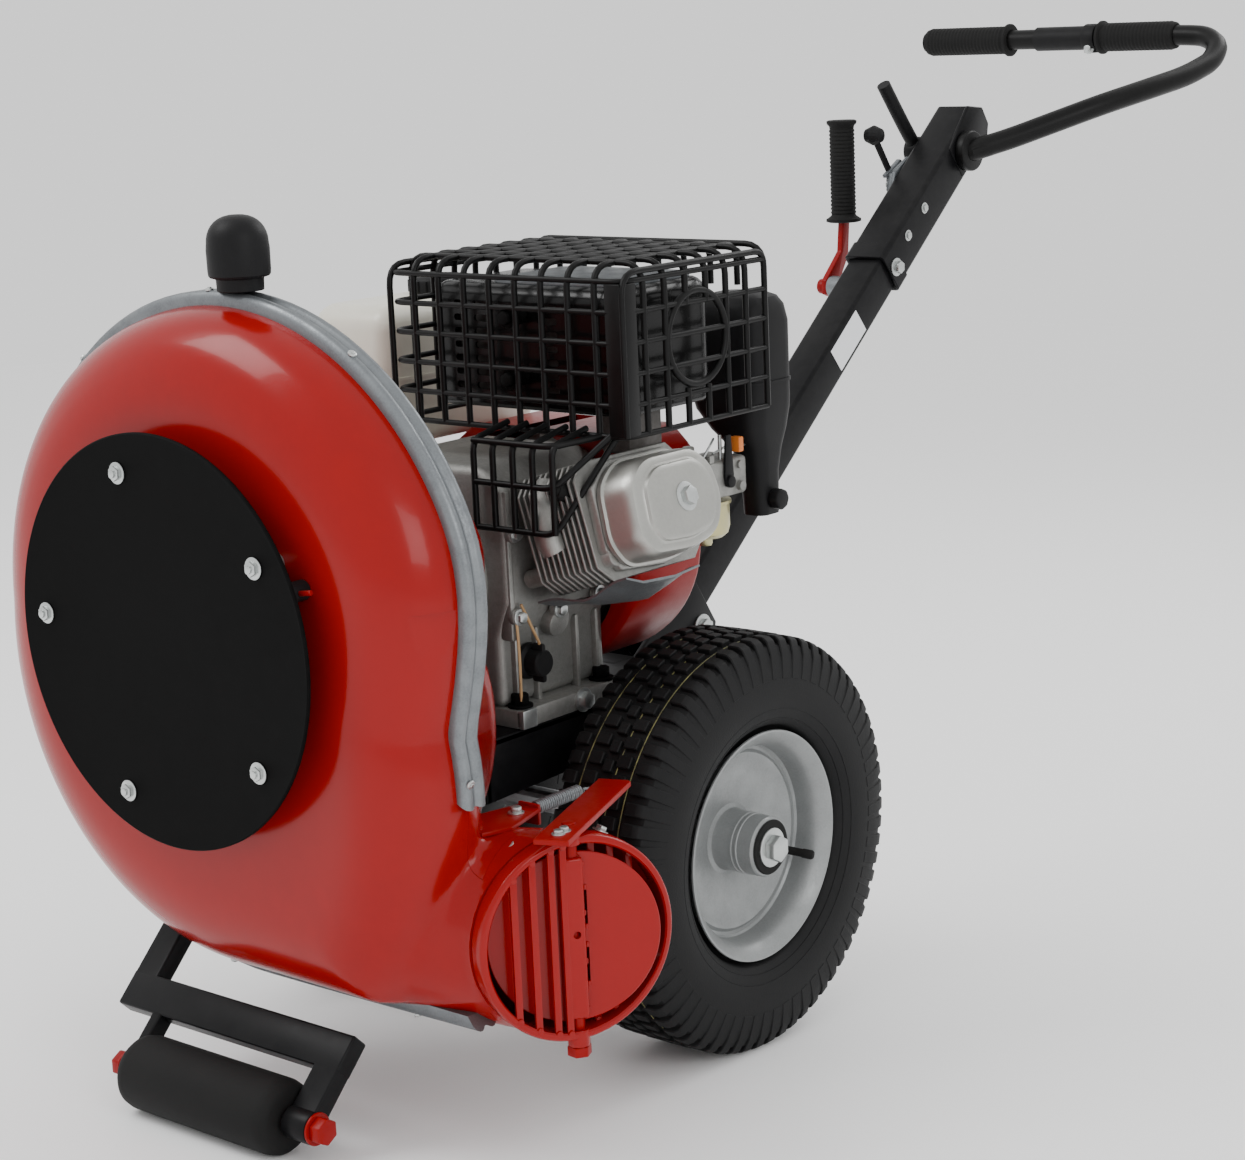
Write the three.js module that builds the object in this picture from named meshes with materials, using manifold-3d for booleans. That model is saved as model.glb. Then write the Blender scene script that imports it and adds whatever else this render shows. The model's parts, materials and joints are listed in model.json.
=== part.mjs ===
// Walk behind leaf blower: scroll housing with a barred side outlet and a shut-off flap, a horizontal
// crankshaft engine on a steel deck, two pneumatic wheels, a front roller and an adjustable handlebar.
// Millimetres. The machine is modelled about its wheel axle: X across, Y backwards, Z up, and then it is
// pitched nose down on its roller.
import * as THREE from 'three';
import { mergeVertices } from 'three/addons/utils/BufferGeometryUtils.js';
import Module from 'manifold-3d';

const wasm = await Module();
wasm.setup();

// ---- driving dimensions ----------------------------------------------------------------------------
const PITCH = THREE.MathUtils.degToRad(3.8);
const GAP = 0.3;

const TYRE_R = 208;
const TREAD_HALF_W = 50;
const TYRE_HALF_W = 60;
const TRACK_HALF = 210;
const RIM_R = 114;
const AXLE_R = 12.5;
const HUB_R = 30;
const HUB_OUT = 58;
const HUB_IN = 50;

const FAN_Z = 283;
const SEAM_Y = -413;
const SCROLL_R = 286;
const SCROLL_BOTTOM = 322;
const SCROLL_TUCK = 23;
const HOUSING_FRONT_Y = -490;
const HOUSING_BACK_Y = -243;
const SHEET = 3;
const TRIM_HALF_W = 13;
const TRIM_HIGH = 12;
const INTAKE_R = 138;
const COVER_R = 186;
const COVER_Y = -516;
const COVER_BOLT_R = 153;
const COVER_BOLTS = 5;

const DUCT_R = 92;
const DUCT_X = 308;
const DUCT_Y = -347;
const DUCT_Z = 27;
const DUCT_TURN = THREE.MathUtils.degToRad(-23.3);
const FLAP_R = 77;
const FLAP_AJAR = THREE.MathUtils.degToRad(-13);

const DECK_TOP = 141;
const DECK_HALF_X = 115;
const DECK_FRONT_Y = -236;
const DECK_BACK_Y = 95;
const CRANK_R = 12.7;

const CYL_TILT = THREE.MathUtils.degToRad(17.2);
const CYL_Y = -101;
const HEAD_S = 225;
const ROCKER_S = 270;
const FIN_COUNT = 11;

const CAGE = { x0: -62, x1: 230, y0: -146, y1: 69, z0: 424, z1: 580 };
const CAGE_WIRE = 3.2;

const COLUMN_TILT = THREE.MathUtils.degToRad(39);
const COLUMN_Y = 655;
const COLUMN_Z = 545;
const TUBE_HALF = 22.5;
const SLEEVE_HALF = 26;
const SLEEVE_WALL = 3;
const SLEEVE_LOW = -86;
const SLEEVE_TOP = 173;
const TUBE_FOOT = -690;

const PIVOT_Y = 752;
const PIVOT_Z = 622;
const BAR_R = 13;
const GRIP_R = 18;
const CROSSBAR_Y = 1070;
const CROSSBAR_Z = 744;

const ROLLER_R = 35;
const ROLLER_X = 6;
const ROLLER_HALF = 100;
const ROLLER_Y = -503;
const ROLLER_Z = -140;
const FORK_TILT = THREE.MathUtils.degToRad(45);
const FORK_LEFT = -158;
const FORK_RIGHT = 140;
const FORK_WIDE = 36;
const FORK_THICK = 20;

// ---- paints ----------------------------------------------------------------------------------------
const paint = (name, colour, roughness, metalness) => {
  const material = new THREE.MeshStandardMaterial({ color: colour, roughness, metalness });
  material.name = name;
  return material;
};
const RED = paint('red_paint', 0xc4120c, 0.28, 0.1);
const BLACK = paint('black_paint', 0x161618, 0.4, 0.2);
const MATTE_BLACK = paint('black_plastic', 0x141415, 0.6, 0);
const RUBBER = paint('rubber', 0x19191a, 0.8, 0);
const ZINC = paint('zinc', 0xb4b8ba, 0.35, 0.9);
const SILVER = paint('silver_paint', 0xa9abad, 0.35, 0.6);
const CAST = paint('cast_aluminium', 0x9b9c9a, 0.45, 0.8);
const STEEL = paint('steel', 0x8c8e90, 0.4, 0.9);
const CREAM = paint('cream_paint', 0xe4e0cf, 0.35, 0);

// ---- solids ----------------------------------------------------------------------------------------
function toSolid(geometry) {
  const bare = new THREE.BufferGeometry();
  bare.setAttribute('position', geometry.getAttribute('position').clone());
  if (geometry.index) bare.setIndex(geometry.index.clone());
  const merged = mergeVertices(bare, 1e-4);
  const position = merged.getAttribute('position').array;
  const index = Array.from(merged.index.array).slice();
  if (signedVolume(position, index) < 0) index.reverse();
  const kept = [];
  for (let i = 0; i < index.length; i += 3) {
    const [a, b, c] = [index[i], index[i + 1], index[i + 2]];
    if (a !== b && b !== c && c !== a) kept.push(a, b, c);
  }
  const mesh = new wasm.Mesh({
    numProp: 3,
    vertProperties: new Float32Array(position),
    triVerts: new Uint32Array(kept),
  });
  mesh.merge();
  return new wasm.Manifold(mesh);
}

function signedVolume(position, index) {
  const [a, b, c] = [new THREE.Vector3(), new THREE.Vector3(), new THREE.Vector3()];
  let volume = 0;
  for (let i = 0; i < index.length; i += 3) {
    a.fromArray(position, index[i] * 3);
    b.fromArray(position, index[i + 1] * 3);
    c.fromArray(position, index[i + 2] * 3);
    volume += a.dot(b.cross(c));
  }
  return volume;
}

const join = (...solids) => solids.reduce((whole, next) => whole.add(next));
const cut = (body, ...tools) => tools.reduce((left, tool) => left.subtract(tool), body);

function box(x0, x1, y0, y1, z0, z1) {
  const geometry = new THREE.BoxGeometry(x1 - x0, y1 - y0, z1 - z0);
  geometry.translate((x0 + x1) / 2, (y0 + y1) / 2, (z0 + z1) / 2);
  return toSolid(geometry);
}

const AXES = {
  x: [[0, 1, 0], [0, 0, 1], [1, 0, 0]],
  y: [[1, 0, 0], [0, 0, 1], [0, -1, 0]],
  z: [[1, 0, 0], [0, 1, 0], [0, 0, 1]],
};

// A flat outline pushed along one axis: outline in (y, z) for x, (x, z) for y and (x, y) for z.
function slab(axis, outline, from, to, bevel = 0) {
  const shape = new THREE.Shape(outline.map(([u, v]) => new THREE.Vector2(u, v)));
  const geometry = new THREE.ExtrudeGeometry(shape, {
    depth: to - from - 2 * bevel,
    bevelEnabled: bevel > 0,
    bevelSize: bevel,
    bevelThickness: bevel,
    bevelOffset: -bevel,
    bevelSegments: 2,
    curveSegments: 6,
  });
  const basis = AXES[axis].map((v) => new THREE.Vector3(...v));
  geometry.applyMatrix4(new THREE.Matrix4().makeBasis(...basis));
  const start = axis === 'y' ? -to : from;
  const shift = basis[2].clone().multiplyScalar(start + bevel);
  geometry.translate(shift.x, shift.y, shift.z);
  return toSolid(geometry);
}

// A closed profile of [radius, station] pairs turned about the given axis through the origin.
function turned(axis, profile, sides) {
  const closed = profile[0][0] === 0 ? profile : [...profile, profile[0]];
  const geometry = new THREE.LatheGeometry(closed.map(([r, s]) => new THREE.Vector2(r, s)), sides);
  if (axis === 'x') geometry.rotateZ(-Math.PI / 2);
  if (axis === 'z') geometry.rotateX(Math.PI / 2);
  return toSolid(geometry);
}

const disc = (axis, radius, from, to, sides = 24) =>
  turned(axis, [[0, from], [radius, from], [radius, to], [0, to]], sides);

const hexagon = (axis, acrossFlats, from, to) => disc(axis, acrossFlats / Math.sqrt(3), from, to, 6);

// A round bar swept through points; the shape's own sides set how round it is.
function bar(points, radius, sides = 10, steps = 40, tension = 0.5) {
  const path = new THREE.CatmullRomCurve3(points.map((p) => new THREE.Vector3(...p)), false, 'catmullrom', tension);
  return swept(path, radius, sides, steps);
}

function swept(path, radius, sides, steps) {
  const ring = [];
  for (let i = 0; i < sides; i += 1) {
    const angle = (2 * Math.PI * i) / sides;
    ring.push(new THREE.Vector2(radius * Math.cos(angle), radius * Math.sin(angle)));
  }
  return toSolid(new THREE.ExtrudeGeometry(new THREE.Shape(ring), { steps, extrudePath: path }));
}

function straight(from, to, radius, sides = 8) {
  return swept(new THREE.LineCurve3(new THREE.Vector3(...from), new THREE.Vector3(...to)), radius, sides, 1);
}

// Rings of points skinned into one closed body, each end closed to its own middle.
function loft(rings) {
  const count = rings[0].length;
  const points = rings.flat();
  const faces = [];
  for (let r = 0; r + 1 < rings.length; r += 1) {
    for (let i = 0; i < count; i += 1) {
      const a = r * count + i;
      const b = r * count + ((i + 1) % count);
      faces.push(a, b, b + count, a, b + count, a + count);
    }
  }
  for (const end of [0, rings.length - 1]) {
    const middle = rings[end].reduce((sum, p) => sum.add(p), new THREE.Vector3()).divideScalar(count);
    points.push(middle);
    for (let i = 0; i < count; i += 1) {
      const a = end * count + i;
      const b = end * count + ((i + 1) % count);
      faces.push(...(end === 0 ? [b, a, points.length - 1] : [a, b, points.length - 1]));
    }
  }
  const geometry = new THREE.BufferGeometry().setFromPoints(points);
  geometry.setIndex(faces);
  return toSolid(geometry);
}

const move = (solid, x, y, z) => solid.translate([x, y, z]);
const turnZ = (solid, angle) => solid.rotate([0, 0, THREE.MathUtils.radToDeg(angle)]);

function toGeometry(solid) {
  const { vertProperties, triVerts } = solid.getMesh();
  const geometry = new THREE.BufferGeometry();
  geometry.setAttribute('position', new THREE.BufferAttribute(new Float32Array(vertProperties), 3));
  geometry.setIndex(new THREE.BufferAttribute(new Uint32Array(triVerts), 1));
  geometry.computeVertexNormals();
  return geometry;
}

function piece(name, solid, material, parent) {
  const mesh = new THREE.Mesh(toGeometry(solid), material);
  mesh.name = name;
  parent.add(mesh);
  return mesh;
}

const blower = new THREE.Group();
blower.name = 'walk_behind_leaf_blower';
const machine = new THREE.Group();
machine.name = 'machine';
machine.rotation.x = PITCH;
blower.add(machine);

// ---- fan housing -----------------------------------------------------------------------------------
const SCROLL_SIDES = 40;
const DUCT_SIDES = 26;
const FRONT_STATIONS = [[SEAM_Y, 0], [-440, 3], [-466, 15], [-483, 44], [HOUSING_FRONT_Y, 88]];
const BACK_STATIONS = [[SEAM_Y, 0], [-396, 4], [-345, 54], [-262, 130], [HOUSING_BACK_Y, 140]];

// The scroll's radius: round over the top, growing under the bottom, running flat into the outlet and
// tucked in a little above it.
const TUCK_FROM = 25;
const TUCK_OVER = 40;
const BULGE = 1.16;
function scrollRadius(angle) {
  const degrees = (THREE.MathUtils.radToDeg(angle) + 360) % 360;
  const tucked = SCROLL_R - SCROLL_TUCK;
  if (degrees >= 180 && degrees < 270) {
    return SCROLL_R - (SCROLL_BOTTOM - SCROLL_R) * Math.sin(THREE.MathUtils.degToRad(degrees));
  }
  if (degrees >= 270 && degrees < 345) {
    const flat = SCROLL_BOTTOM / Math.sin(THREE.MathUtils.degToRad(360 - degrees));
    const closing = THREE.MathUtils.lerp(SCROLL_BOTTOM * BULGE, tucked, Math.max(0, (degrees - 300) / 45));
    return Math.min(flat, closing);
  }
  const above = degrees > 180 ? degrees - 360 : degrees;
  const share = THREE.MathUtils.clamp((TUCK_FROM - above) / TUCK_OVER, 0, 1);
  return SCROLL_R - (SCROLL_TUCK * (1 - Math.cos(Math.PI * share))) / 2;
}

function scrollRing(y, inset) {
  const ring = [];
  for (let i = 0; i < SCROLL_SIDES; i += 1) {
    const angle = (2 * Math.PI * i) / SCROLL_SIDES;
    const radius = scrollRadius(angle) - inset;
    ring.push(new THREE.Vector3(radius * Math.cos(angle), y, FAN_Z + radius * Math.sin(angle)));
  }
  return ring;
}

const scrollBody = (stations, shrink, middle) =>
  loft(stations.map(([y, inset], i) => {
    const last = i === stations.length - 1;
    return scrollRing(last ? y - Math.sign(y - middle) * shrink : y, inset + shrink);
  }));

// The outlet duct: from an oval mouth inside the scroll to the round, slanting outlet.
function ductBody(shrink, reach) {
  const rings = [];
  const stops = [
    { x: 60, y: -402, z: 34, deep: 84, high: 70, turn: 0 },
    { x: 190, y: -380, z: 30, deep: 88, high: 82, turn: DUCT_TURN * 0.5 },
    { x: DUCT_X, y: DUCT_Y, z: DUCT_Z, deep: DUCT_R, high: DUCT_R, turn: DUCT_TURN },
  ];
  if (reach > 0) {
    const end = stops[2];
    stops.push({ ...end, x: end.x + reach * Math.cos(DUCT_TURN), y: end.y + reach * Math.sin(DUCT_TURN) });
  }
  for (const stop of stops) {
    const ring = [];
    for (let i = 0; i < DUCT_SIDES; i += 1) {
      const angle = (2 * Math.PI * i) / DUCT_SIDES;
      const across = (stop.deep - shrink) * Math.cos(angle);
      ring.push(new THREE.Vector3(
        stop.x - across * Math.sin(stop.turn),
        stop.y + across * Math.cos(stop.turn),
        stop.z + (stop.high - shrink) * Math.sin(angle),
      ));
    }
    rings.push(ring);
  }
  return loft(rings);
}

const housingOuter = (shrink) => join(
  scrollBody(FRONT_STATIONS, shrink, SEAM_Y),
  scrollBody(BACK_STATIONS, shrink, SEAM_Y),
  ductBody(shrink, 0),
);

const hollow = join(
  scrollBody(FRONT_STATIONS, SHEET, SEAM_Y),
  scrollBody(BACK_STATIONS, SHEET, SEAM_Y),
  ductBody(SHEET, 30),
);
const SHAFT_HOLE_R = 34;
const TRIM_END_X = 272;
const housing = cut(
  housingOuter(0),
  hollow,
  move(disc('y', INTAKE_R, HOUSING_FRONT_Y - 10, HOUSING_FRONT_Y + 20, 32), 0, 0, FAN_Z),
  move(disc('y', SHAFT_HOLE_R, HOUSING_BACK_Y - 20, HOUSING_BACK_Y + 10, 24), 0, 0, FAN_Z),
);
const FAR = 800;
const behindSeam = box(-FAR, TRIM_END_X, SEAM_Y, FAR, -FAR, FAR);
const seamGap = box(-FAR, TRIM_END_X + GAP, SEAM_Y - GAP, FAR, -FAR, FAR);
piece('fan_housing_front', cut(housing, seamGap), RED, machine);
piece('fan_housing_back', housing.intersect(behindSeam), RED, machine);

function trimBand() {
  const rings = [];
  const first = -26;
  const last = 309;
  const steps = 30;
  for (let i = 0; i <= steps; i += 1) {
    const degrees = THREE.MathUtils.lerp(first, last, i / steps);
    const angle = THREE.MathUtils.degToRad(degrees);
    const flat = SCROLL_BOTTOM / Math.abs(Math.sin(angle));
    const outline = degrees > 270 ? flat : scrollRadius(angle);
    const point = (radius, y) =>
      new THREE.Vector3(radius * Math.cos(angle), y, FAN_Z + radius * Math.sin(angle));
    rings.push([
      point(outline - 6, SEAM_Y - TRIM_HALF_W),
      point(outline + TRIM_HIGH, SEAM_Y - TRIM_HALF_W + 3),
      point(outline + TRIM_HIGH, SEAM_Y + TRIM_HALF_W - 3),
      point(outline - 6, SEAM_Y + TRIM_HALF_W),
    ]);
  }
  return loft(rings);
}
piece('housing_rim_trim', cut(trimBand(), housingOuter(-0.4)), ZINC, machine);

const COVER_THICK = 4;
function coverBoltCentres() {
  return Array.from({ length: COVER_BOLTS }, (_, i) => {
    const angle = THREE.MathUtils.degToRad(104 - (360 / COVER_BOLTS) * i);
    return [COVER_BOLT_R * Math.cos(angle), FAN_Z + COVER_BOLT_R * Math.sin(angle)];
  });
}
const coverHoles = coverBoltCentres().map(([x, z]) =>
  move(disc('y', 4 + GAP, COVER_Y - 5, COVER_Y + 5, 12), x, 0, z));
piece('intake_cover', cut(
  move(turned('y', [[0, COVER_Y - 2], [COVER_R - 1, COVER_Y - 2], [COVER_R, COVER_Y - 1],
    [COVER_R, COVER_Y + 2], [0, COVER_Y + 2]], 36), 0, 0, FAN_Z),
  ...coverHoles,
), MATTE_BLACK, machine);
coverBoltCentres().forEach(([x, z], i) => {
  const front = COVER_Y - COVER_THICK / 2;
  const rear = COVER_Y + COVER_THICK / 2;
  const bolt = join(
    hexagon('y', 13, front - 7, front - GAP),
    disc('y', 4, front - 1, rear + 1, 12),
    disc('y', 8, rear + GAP, HOUSING_FRONT_Y - GAP, 12),
  );
  piece(`intake_bolt_${i + 1}`, move(bolt, x, 0, z), ZINC, machine);
});

const KNOB_X = 22;
const KNOB_FOOT = FAN_Z + Math.sqrt((SCROLL_R + TRIM_HIGH) ** 2 - KNOB_X ** 2) + GAP;
const knobProfile = [[0, 0], [20, 0], [21, 10], [27, 14], [27, 42], [24, 53], [16, 61], [7, 65], [0, 66]];
piece('lifting_knob', move(turned('z', knobProfile, 24), KNOB_X, SEAM_Y, KNOB_FOOT), MATTE_BLACK, machine);

// ---- outlet: grille, flap and its arm --------------------------------------------------------------
const outlet = new THREE.Group();
outlet.name = 'outlet';
outlet.position.set(DUCT_X, DUCT_Y, DUCT_Z);
outlet.rotation.z = DUCT_TURN;
machine.add(outlet);

const RING_DEEP = 20;
const HINGE_X = 11;
const ROD_R = 6;
const BAR_HALF = FLAP_R + 2;
const FRONT_BARS = [-58, -40, -22];
const slat = (x, y) => box(x - 1.5, x + 1.5, y - 3, y + 3, -DUCT_R, DUCT_R);
const ringBore = disc('x', DUCT_R - SHEET - 1, -12, RING_DEEP + 5, DUCT_SIDES);
const ring = cut(disc('x', DUCT_R, GAP, RING_DEEP, DUCT_SIDES), ringBore);
const within = disc('x', DUCT_R - 1, GAP, RING_DEEP, DUCT_SIDES);
const slats = [
  ...FRONT_BARS.map((y) => slat(HINGE_X + 6, y)),
  ...FRONT_BARS.map((y) => slat(HINGE_X - 6, -y)),
  slat(HINGE_X + 6, -11),
  slat(HINGE_X - 6, 11),
].map((upright) => upright.intersect(within));
const hingeBoss = (z0, z1) => move(disc('z', 9, z0, z1, 16), HINGE_X, 0, 0);
piece('outlet_grille', cut(
  join(ring, ...slats, hingeBoss(-DUCT_R - 6, -BAR_HALF - 1), hingeBoss(BAR_HALF + 1, DUCT_R + 4)),
  move(disc('z', ROD_R + GAP, -DUCT_R - 20, DUCT_R + 20, 16), HINGE_X, 0, 0),
), RED, outlet);

const flapBody = new THREE.Group();
flapBody.name = 'flap';
flapBody.position.x = HINGE_X;
flapBody.rotation.z = FLAP_AJAR;
outlet.add(flapBody);
const ARM_Z = DUCT_R + 5;
piece('flap_rod', join(
  disc('z', ROD_R, -DUCT_R - 18, ARM_Z + 6, 16),
  hexagon('z', 18, -DUCT_R - 20, -DUCT_R - 9),
), RED, flapBody);
piece('outlet_flap', cut(
  join(disc('x', FLAP_R, -1.2, 1.2, DUCT_SIDES), disc('z', ROD_R + 2, -FLAP_R + 2, FLAP_R - 2, 16)),
  disc('z', ROD_R + GAP, -FLAP_R - 5, FLAP_R + 5, 16),
), RED, flapBody);
const ARM_AIM = -68;
const ARM_TURN = ARM_AIM - THREE.MathUtils.radToDeg(DUCT_TURN + FLAP_AJAR);
const ARM_HALF_W = 16;
const ARM_BEHIND = 131;
const ARM_AHEAD = 47;
const armOutline = [[ARM_AHEAD, -ARM_HALF_W], [ARM_AHEAD, ARM_HALF_W], [-ARM_BEHIND, ARM_HALF_W],
  [-ARM_BEHIND, -ARM_HALF_W]];
piece('flap_arm', cut(
  slab('z', armOutline, ARM_Z, ARM_Z + 5).rotate([0, 0, ARM_TURN]),
  disc('z', ROD_R + GAP, ARM_Z - 5, ARM_Z + 12, 16),
), RED, flapBody);

const BRACKET_TOP = 119;
const SPRING_Z = BRACKET_TOP - 4;
const SPRING_X = 234;
const bracketOutline = [[206, -372], [252, -390], [262, -362], [246, -306], [222, -306], [214, -340]];
piece('flap_bracket', cut(join(
  slab('z', bracketOutline, BRACKET_TOP - 4, BRACKET_TOP),
  box(SPRING_X - 12, SPRING_X + 12, -310, -306, BRACKET_TOP - 16, BRACKET_TOP + 3),
  box(216, 256, -376, -352, BRACKET_TOP - 30, BRACKET_TOP - 1),
), housingOuter(-0.4), move(disc('y', 2.2, -320, -290, 8), SPRING_X, 0, SPRING_Z)), RED, machine);
const SPRING_R = 4.6;
const SPRING_TURNS = 9;
const springPath = [];
for (let i = 0; i <= SPRING_TURNS * 6; i += 1) {
  const angle = (2 * Math.PI * i) / 6;
  const along = THREE.MathUtils.lerp(-299, -243, i / (SPRING_TURNS * 6));
  springPath.push([SPRING_X + SPRING_R * Math.cos(angle), along, SPRING_Z + SPRING_R * Math.sin(angle)]);
}
piece('flap_spring', bar([[SPRING_X, -313, SPRING_Z], [SPRING_X, -303, SPRING_Z], ...springPath,
  [SPRING_X + 2, -238, SPRING_Z], [SPRING_X + 4, -224, SPRING_Z]], 1.3, 4, 66), ZINC, machine);

// ---- engine ----------------------------------------------------------------------------------------
const CASE_FRONT = -188;
const CASE_BACK = -34;
const shaftBore = (from, to, radius = CRANK_R + GAP) => move(disc('y', radius, from, to, 24), 0, 0, FAN_Z);
const caseOutline = [[-118, 141.3], [118, 141.3], [118, 158], [97, 160], [97, 226], [112, 262], [112, 372],
  [80, 392], [-60, 392], [-112, 340], [-112, 210], [-97, 160], [-118, 158]];
const caseInside = [[-90, 168], [88, 168], [88, 228], [102, 264], [102, 366], [76, 382], [-56, 382],
  [-102, 336], [-102, 212]];
const tankStay = box(-190, -50, -120, -96, 372, 384);
piece('crankcase', cut(
  join(slab('y', caseOutline, CASE_FRONT, CASE_BACK), tankStay),
  slab('y', caseInside, CASE_FRONT + 8, CASE_BACK - 8),
  shaftBore(CASE_FRONT - 5, CASE_BACK + 5),
), CAST, machine);
piece('crankcase_cover', move(cut(
  turned('y', [[0, -238], [48, -238], [52, -222], [80, -208], [86, CASE_FRONT - GAP], [0, CASE_FRONT - GAP]],
    28),
  disc('y', CRANK_R + GAP, -240, CASE_FRONT + 5, 24),
), 0, 0, FAN_Z), CAST, machine);

const tilt = (solid) => move(solid.rotate([0, -THREE.MathUtils.radToDeg(CYL_TILT), 0]), 0, 0, FAN_Z);
const finBlock = (from, to, halfY, low, high) => box(from, to, CYL_Y - halfY, CYL_Y + halfY, low, high);
const fins = Array.from({ length: FIN_COUNT }, (_, i) => {
  const at = 128 + (i * (HEAD_S - 6 - 128)) / (FIN_COUNT - 1);
  const grow = i < 3 ? 8 : 0;
  return finBlock(at, at + 3, 80 - grow, -56 + grow, 58 - grow);
});
const caseFaceCut = box(-FAR, 112 + GAP, -FAR, FAR, -FAR, FAR);
const carbPort = box(150, 172, CYL_Y + 40, -20, 20, 44);
piece('cylinder', cut(tilt(join(finBlock(104, HEAD_S, 56, -42, 44), ...fins, carbPort)), caseFaceCut), CAST, machine);
const rockerOutline = [[-72, -22], [-56, -46], [4, -50], [50, -40], [70, -8], [66, 30], [42, 50], [-38, 50], [-66, 30]];
const rockerSolid = slab('x', rockerOutline.map(([y, z]) => [CYL_Y + y, z]), HEAD_S + GAP, ROCKER_S, 7);
piece('rocker_cover', tilt(rockerSolid), CAST, machine);
const plug = move(straight([0, 0, 0], [-6, -24, 12], 8, 10), 196, CYL_Y - 58, 30);
piece('spark_plug_cap', cut(tilt(plug), tilt(finBlock(104, HEAD_S + GAP, 80 + GAP, -57, 59))), MATTE_BLACK, machine);

// muffler with its wire guard
const M = { x0: -40, x1: 208, y0: -122, y1: 22, z0: 436, z1: 556 };
const mufflerOutline = [[M.x0, M.z0], [M.x1, M.z0], [M.x1, M.z1 - 20], [M.x1 - 16, M.z1], [M.x0 + 30, M.z1],
  [M.x0, M.z1 - 24]];
const mufflerBox = slab('y', mufflerOutline, M.y0, M.y1, 5);
const exhaust = box(150, 186, -90, -40, 395, M.z0 + 6);
piece('muffler', cut(
  join(mufflerBox, exhaust),
  tilt(finBlock(100, HEAD_S + 60, 90, -60, 58 + GAP)),
  box(M.x0 + 10, M.x1 - 10, M.y0 + 4, M.y1 - 4, M.z0 + 4, M.z1 - 26),
  box(154, 182, -86, -44, M.z0 - 60, M.z0 + 10),
), BLACK, machine);

function cageWires() {
  const { x0, x1, y0, y1, z0, z1 } = CAGE;
  const wires = [];
  const wire = (ax, ay, az, bx, by, bz) => {
    const w = CAGE_WIRE;
    wires.push(box(Math.min(ax, bx) - w, Math.max(ax, bx) + w, Math.min(ay, by) - w, Math.max(ay, by) + w,
      Math.min(az, bz) - w, Math.max(az, bz) + w));
  };
  const rows = GUARD_ROWS;
  const columns = GUARD_COLUMNS;
  const ranks = 3;
  for (let i = 0; i <= rows; i += 1) {
    const z = THREE.MathUtils.lerp(z0, z1, i / rows);
    wire(x0, y0, z, x1, y0, z);
    if (i !== 2) wire(x1, y0, z, x1, y1, z);
    if (i % 2 === 0) wire(x0, y0, z, x0, y1, z);
  }
  for (let i = 0; i <= columns; i += 1) {
    const x = THREE.MathUtils.lerp(x0, x1, i / columns);
    wire(x, y0, z0, x, y0, z1);
    wire(x, y0, z1, x, y1, z1);
  }
  for (let i = 1; i <= ranks; i += 1) {
    const y = THREE.MathUtils.lerp(y0, y1, i / ranks);
    if (i !== 2) wire(x1, y, z0, x1, y, z1);
    wire(x0, y, z1, x1, y, z1);
  }
  wire(x0, y1, z0, x0, y1, z1);
  wire(x0, y0, z0, x0, y1, z0);
  const [skirtLow, skirtY] = [z0 - 86, y0 - 50];
  for (const x of [84, 132.7, 181.3]) {
    wire(x, skirtY, skirtLow, x, skirtY, z0);
    wire(x, skirtY, z0, x, y0, z0);
  }
  for (const z of [skirtLow, z0 - 43, z0]) wire(84, skirtY, z, 181.3, skirtY, z);
  return wires;
}
const GUARD_ROWS = 3;
const GUARD_COLUMNS = 5;
const guardStays = [[1, 1], [4, 2]].map(([column, row]) => {
  const x = THREE.MathUtils.lerp(CAGE.x0, CAGE.x1, column / GUARD_COLUMNS);
  const z = THREE.MathUtils.lerp(CAGE.z0, CAGE.z1, row / GUARD_ROWS);
  return box(x - 5, x + 5, CAGE.y0, M.y0 - GAP, z - 5, z + 5);
});
piece('muffler_guard', join(...cageWires(), ...guardStays), BLACK, machine);

// air cleaner, carburettor and fuel tank
const CORNER = 6;
const cornered = (x0, x1, y0, y1, z) => [
  [x0 + CORNER, y0], [x1 - CORNER, y0], [x1, y0 + CORNER], [x1, y1 - CORNER],
  [x1 - CORNER, y1], [x0 + CORNER, y1], [x0, y1 - CORNER], [x0, y0 + CORNER],
].map(([x, y]) => new THREE.Vector3(x, y, z));
const cleanerStations = [[172, 200, 96, 128, 306], [168, 202, 92, 130, 350], [140, 204, 82, 146, 392],
  [118, 206, 80, 152, 420], [118, 206, 80, 152, 500], [126, 200, 88, 144, 526]];
piece('air_cleaner', loft(cleanerStations.map((station) => cornered(...station))), MATTE_BLACK, machine);
const BOWL_X = 168;
const BOWL_Y = 42;
const carbBody = join(
  box(146, 196, -2, 78, 334, 372),
  box(150, 164, -19, 0, 338, 368),
  box(160, 182, 76, 96, 340, 366),
  move(disc('z', 25, 292, 336, 20), BOWL_X, BOWL_Y, 0),
  move(disc('z', 7, 284, 294, 10), BOWL_X, BOWL_Y, 0),
);
const cleanerClear = loft(cleanerStations.map(([x0, x1, y0, y1, z]) =>
  cornered(x0 - GAP - 0.1, x1 + GAP + 0.1, y0 - GAP - 0.1, y1 + GAP + 0.1, z)));
piece('carburettor', cut(carbBody, cleanerClear, tilt(finBlock(100, HEAD_S + 60, 80 + GAP, -57, 59))), CAST, machine);
piece('choke_lever', join(
  box(196 + GAP, 199, 40, 50, 348, 396),
  move(disc('x', 6, 196 + GAP, 202, 12), 0, 45, 350),
), MATTE_BLACK, machine);

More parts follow.
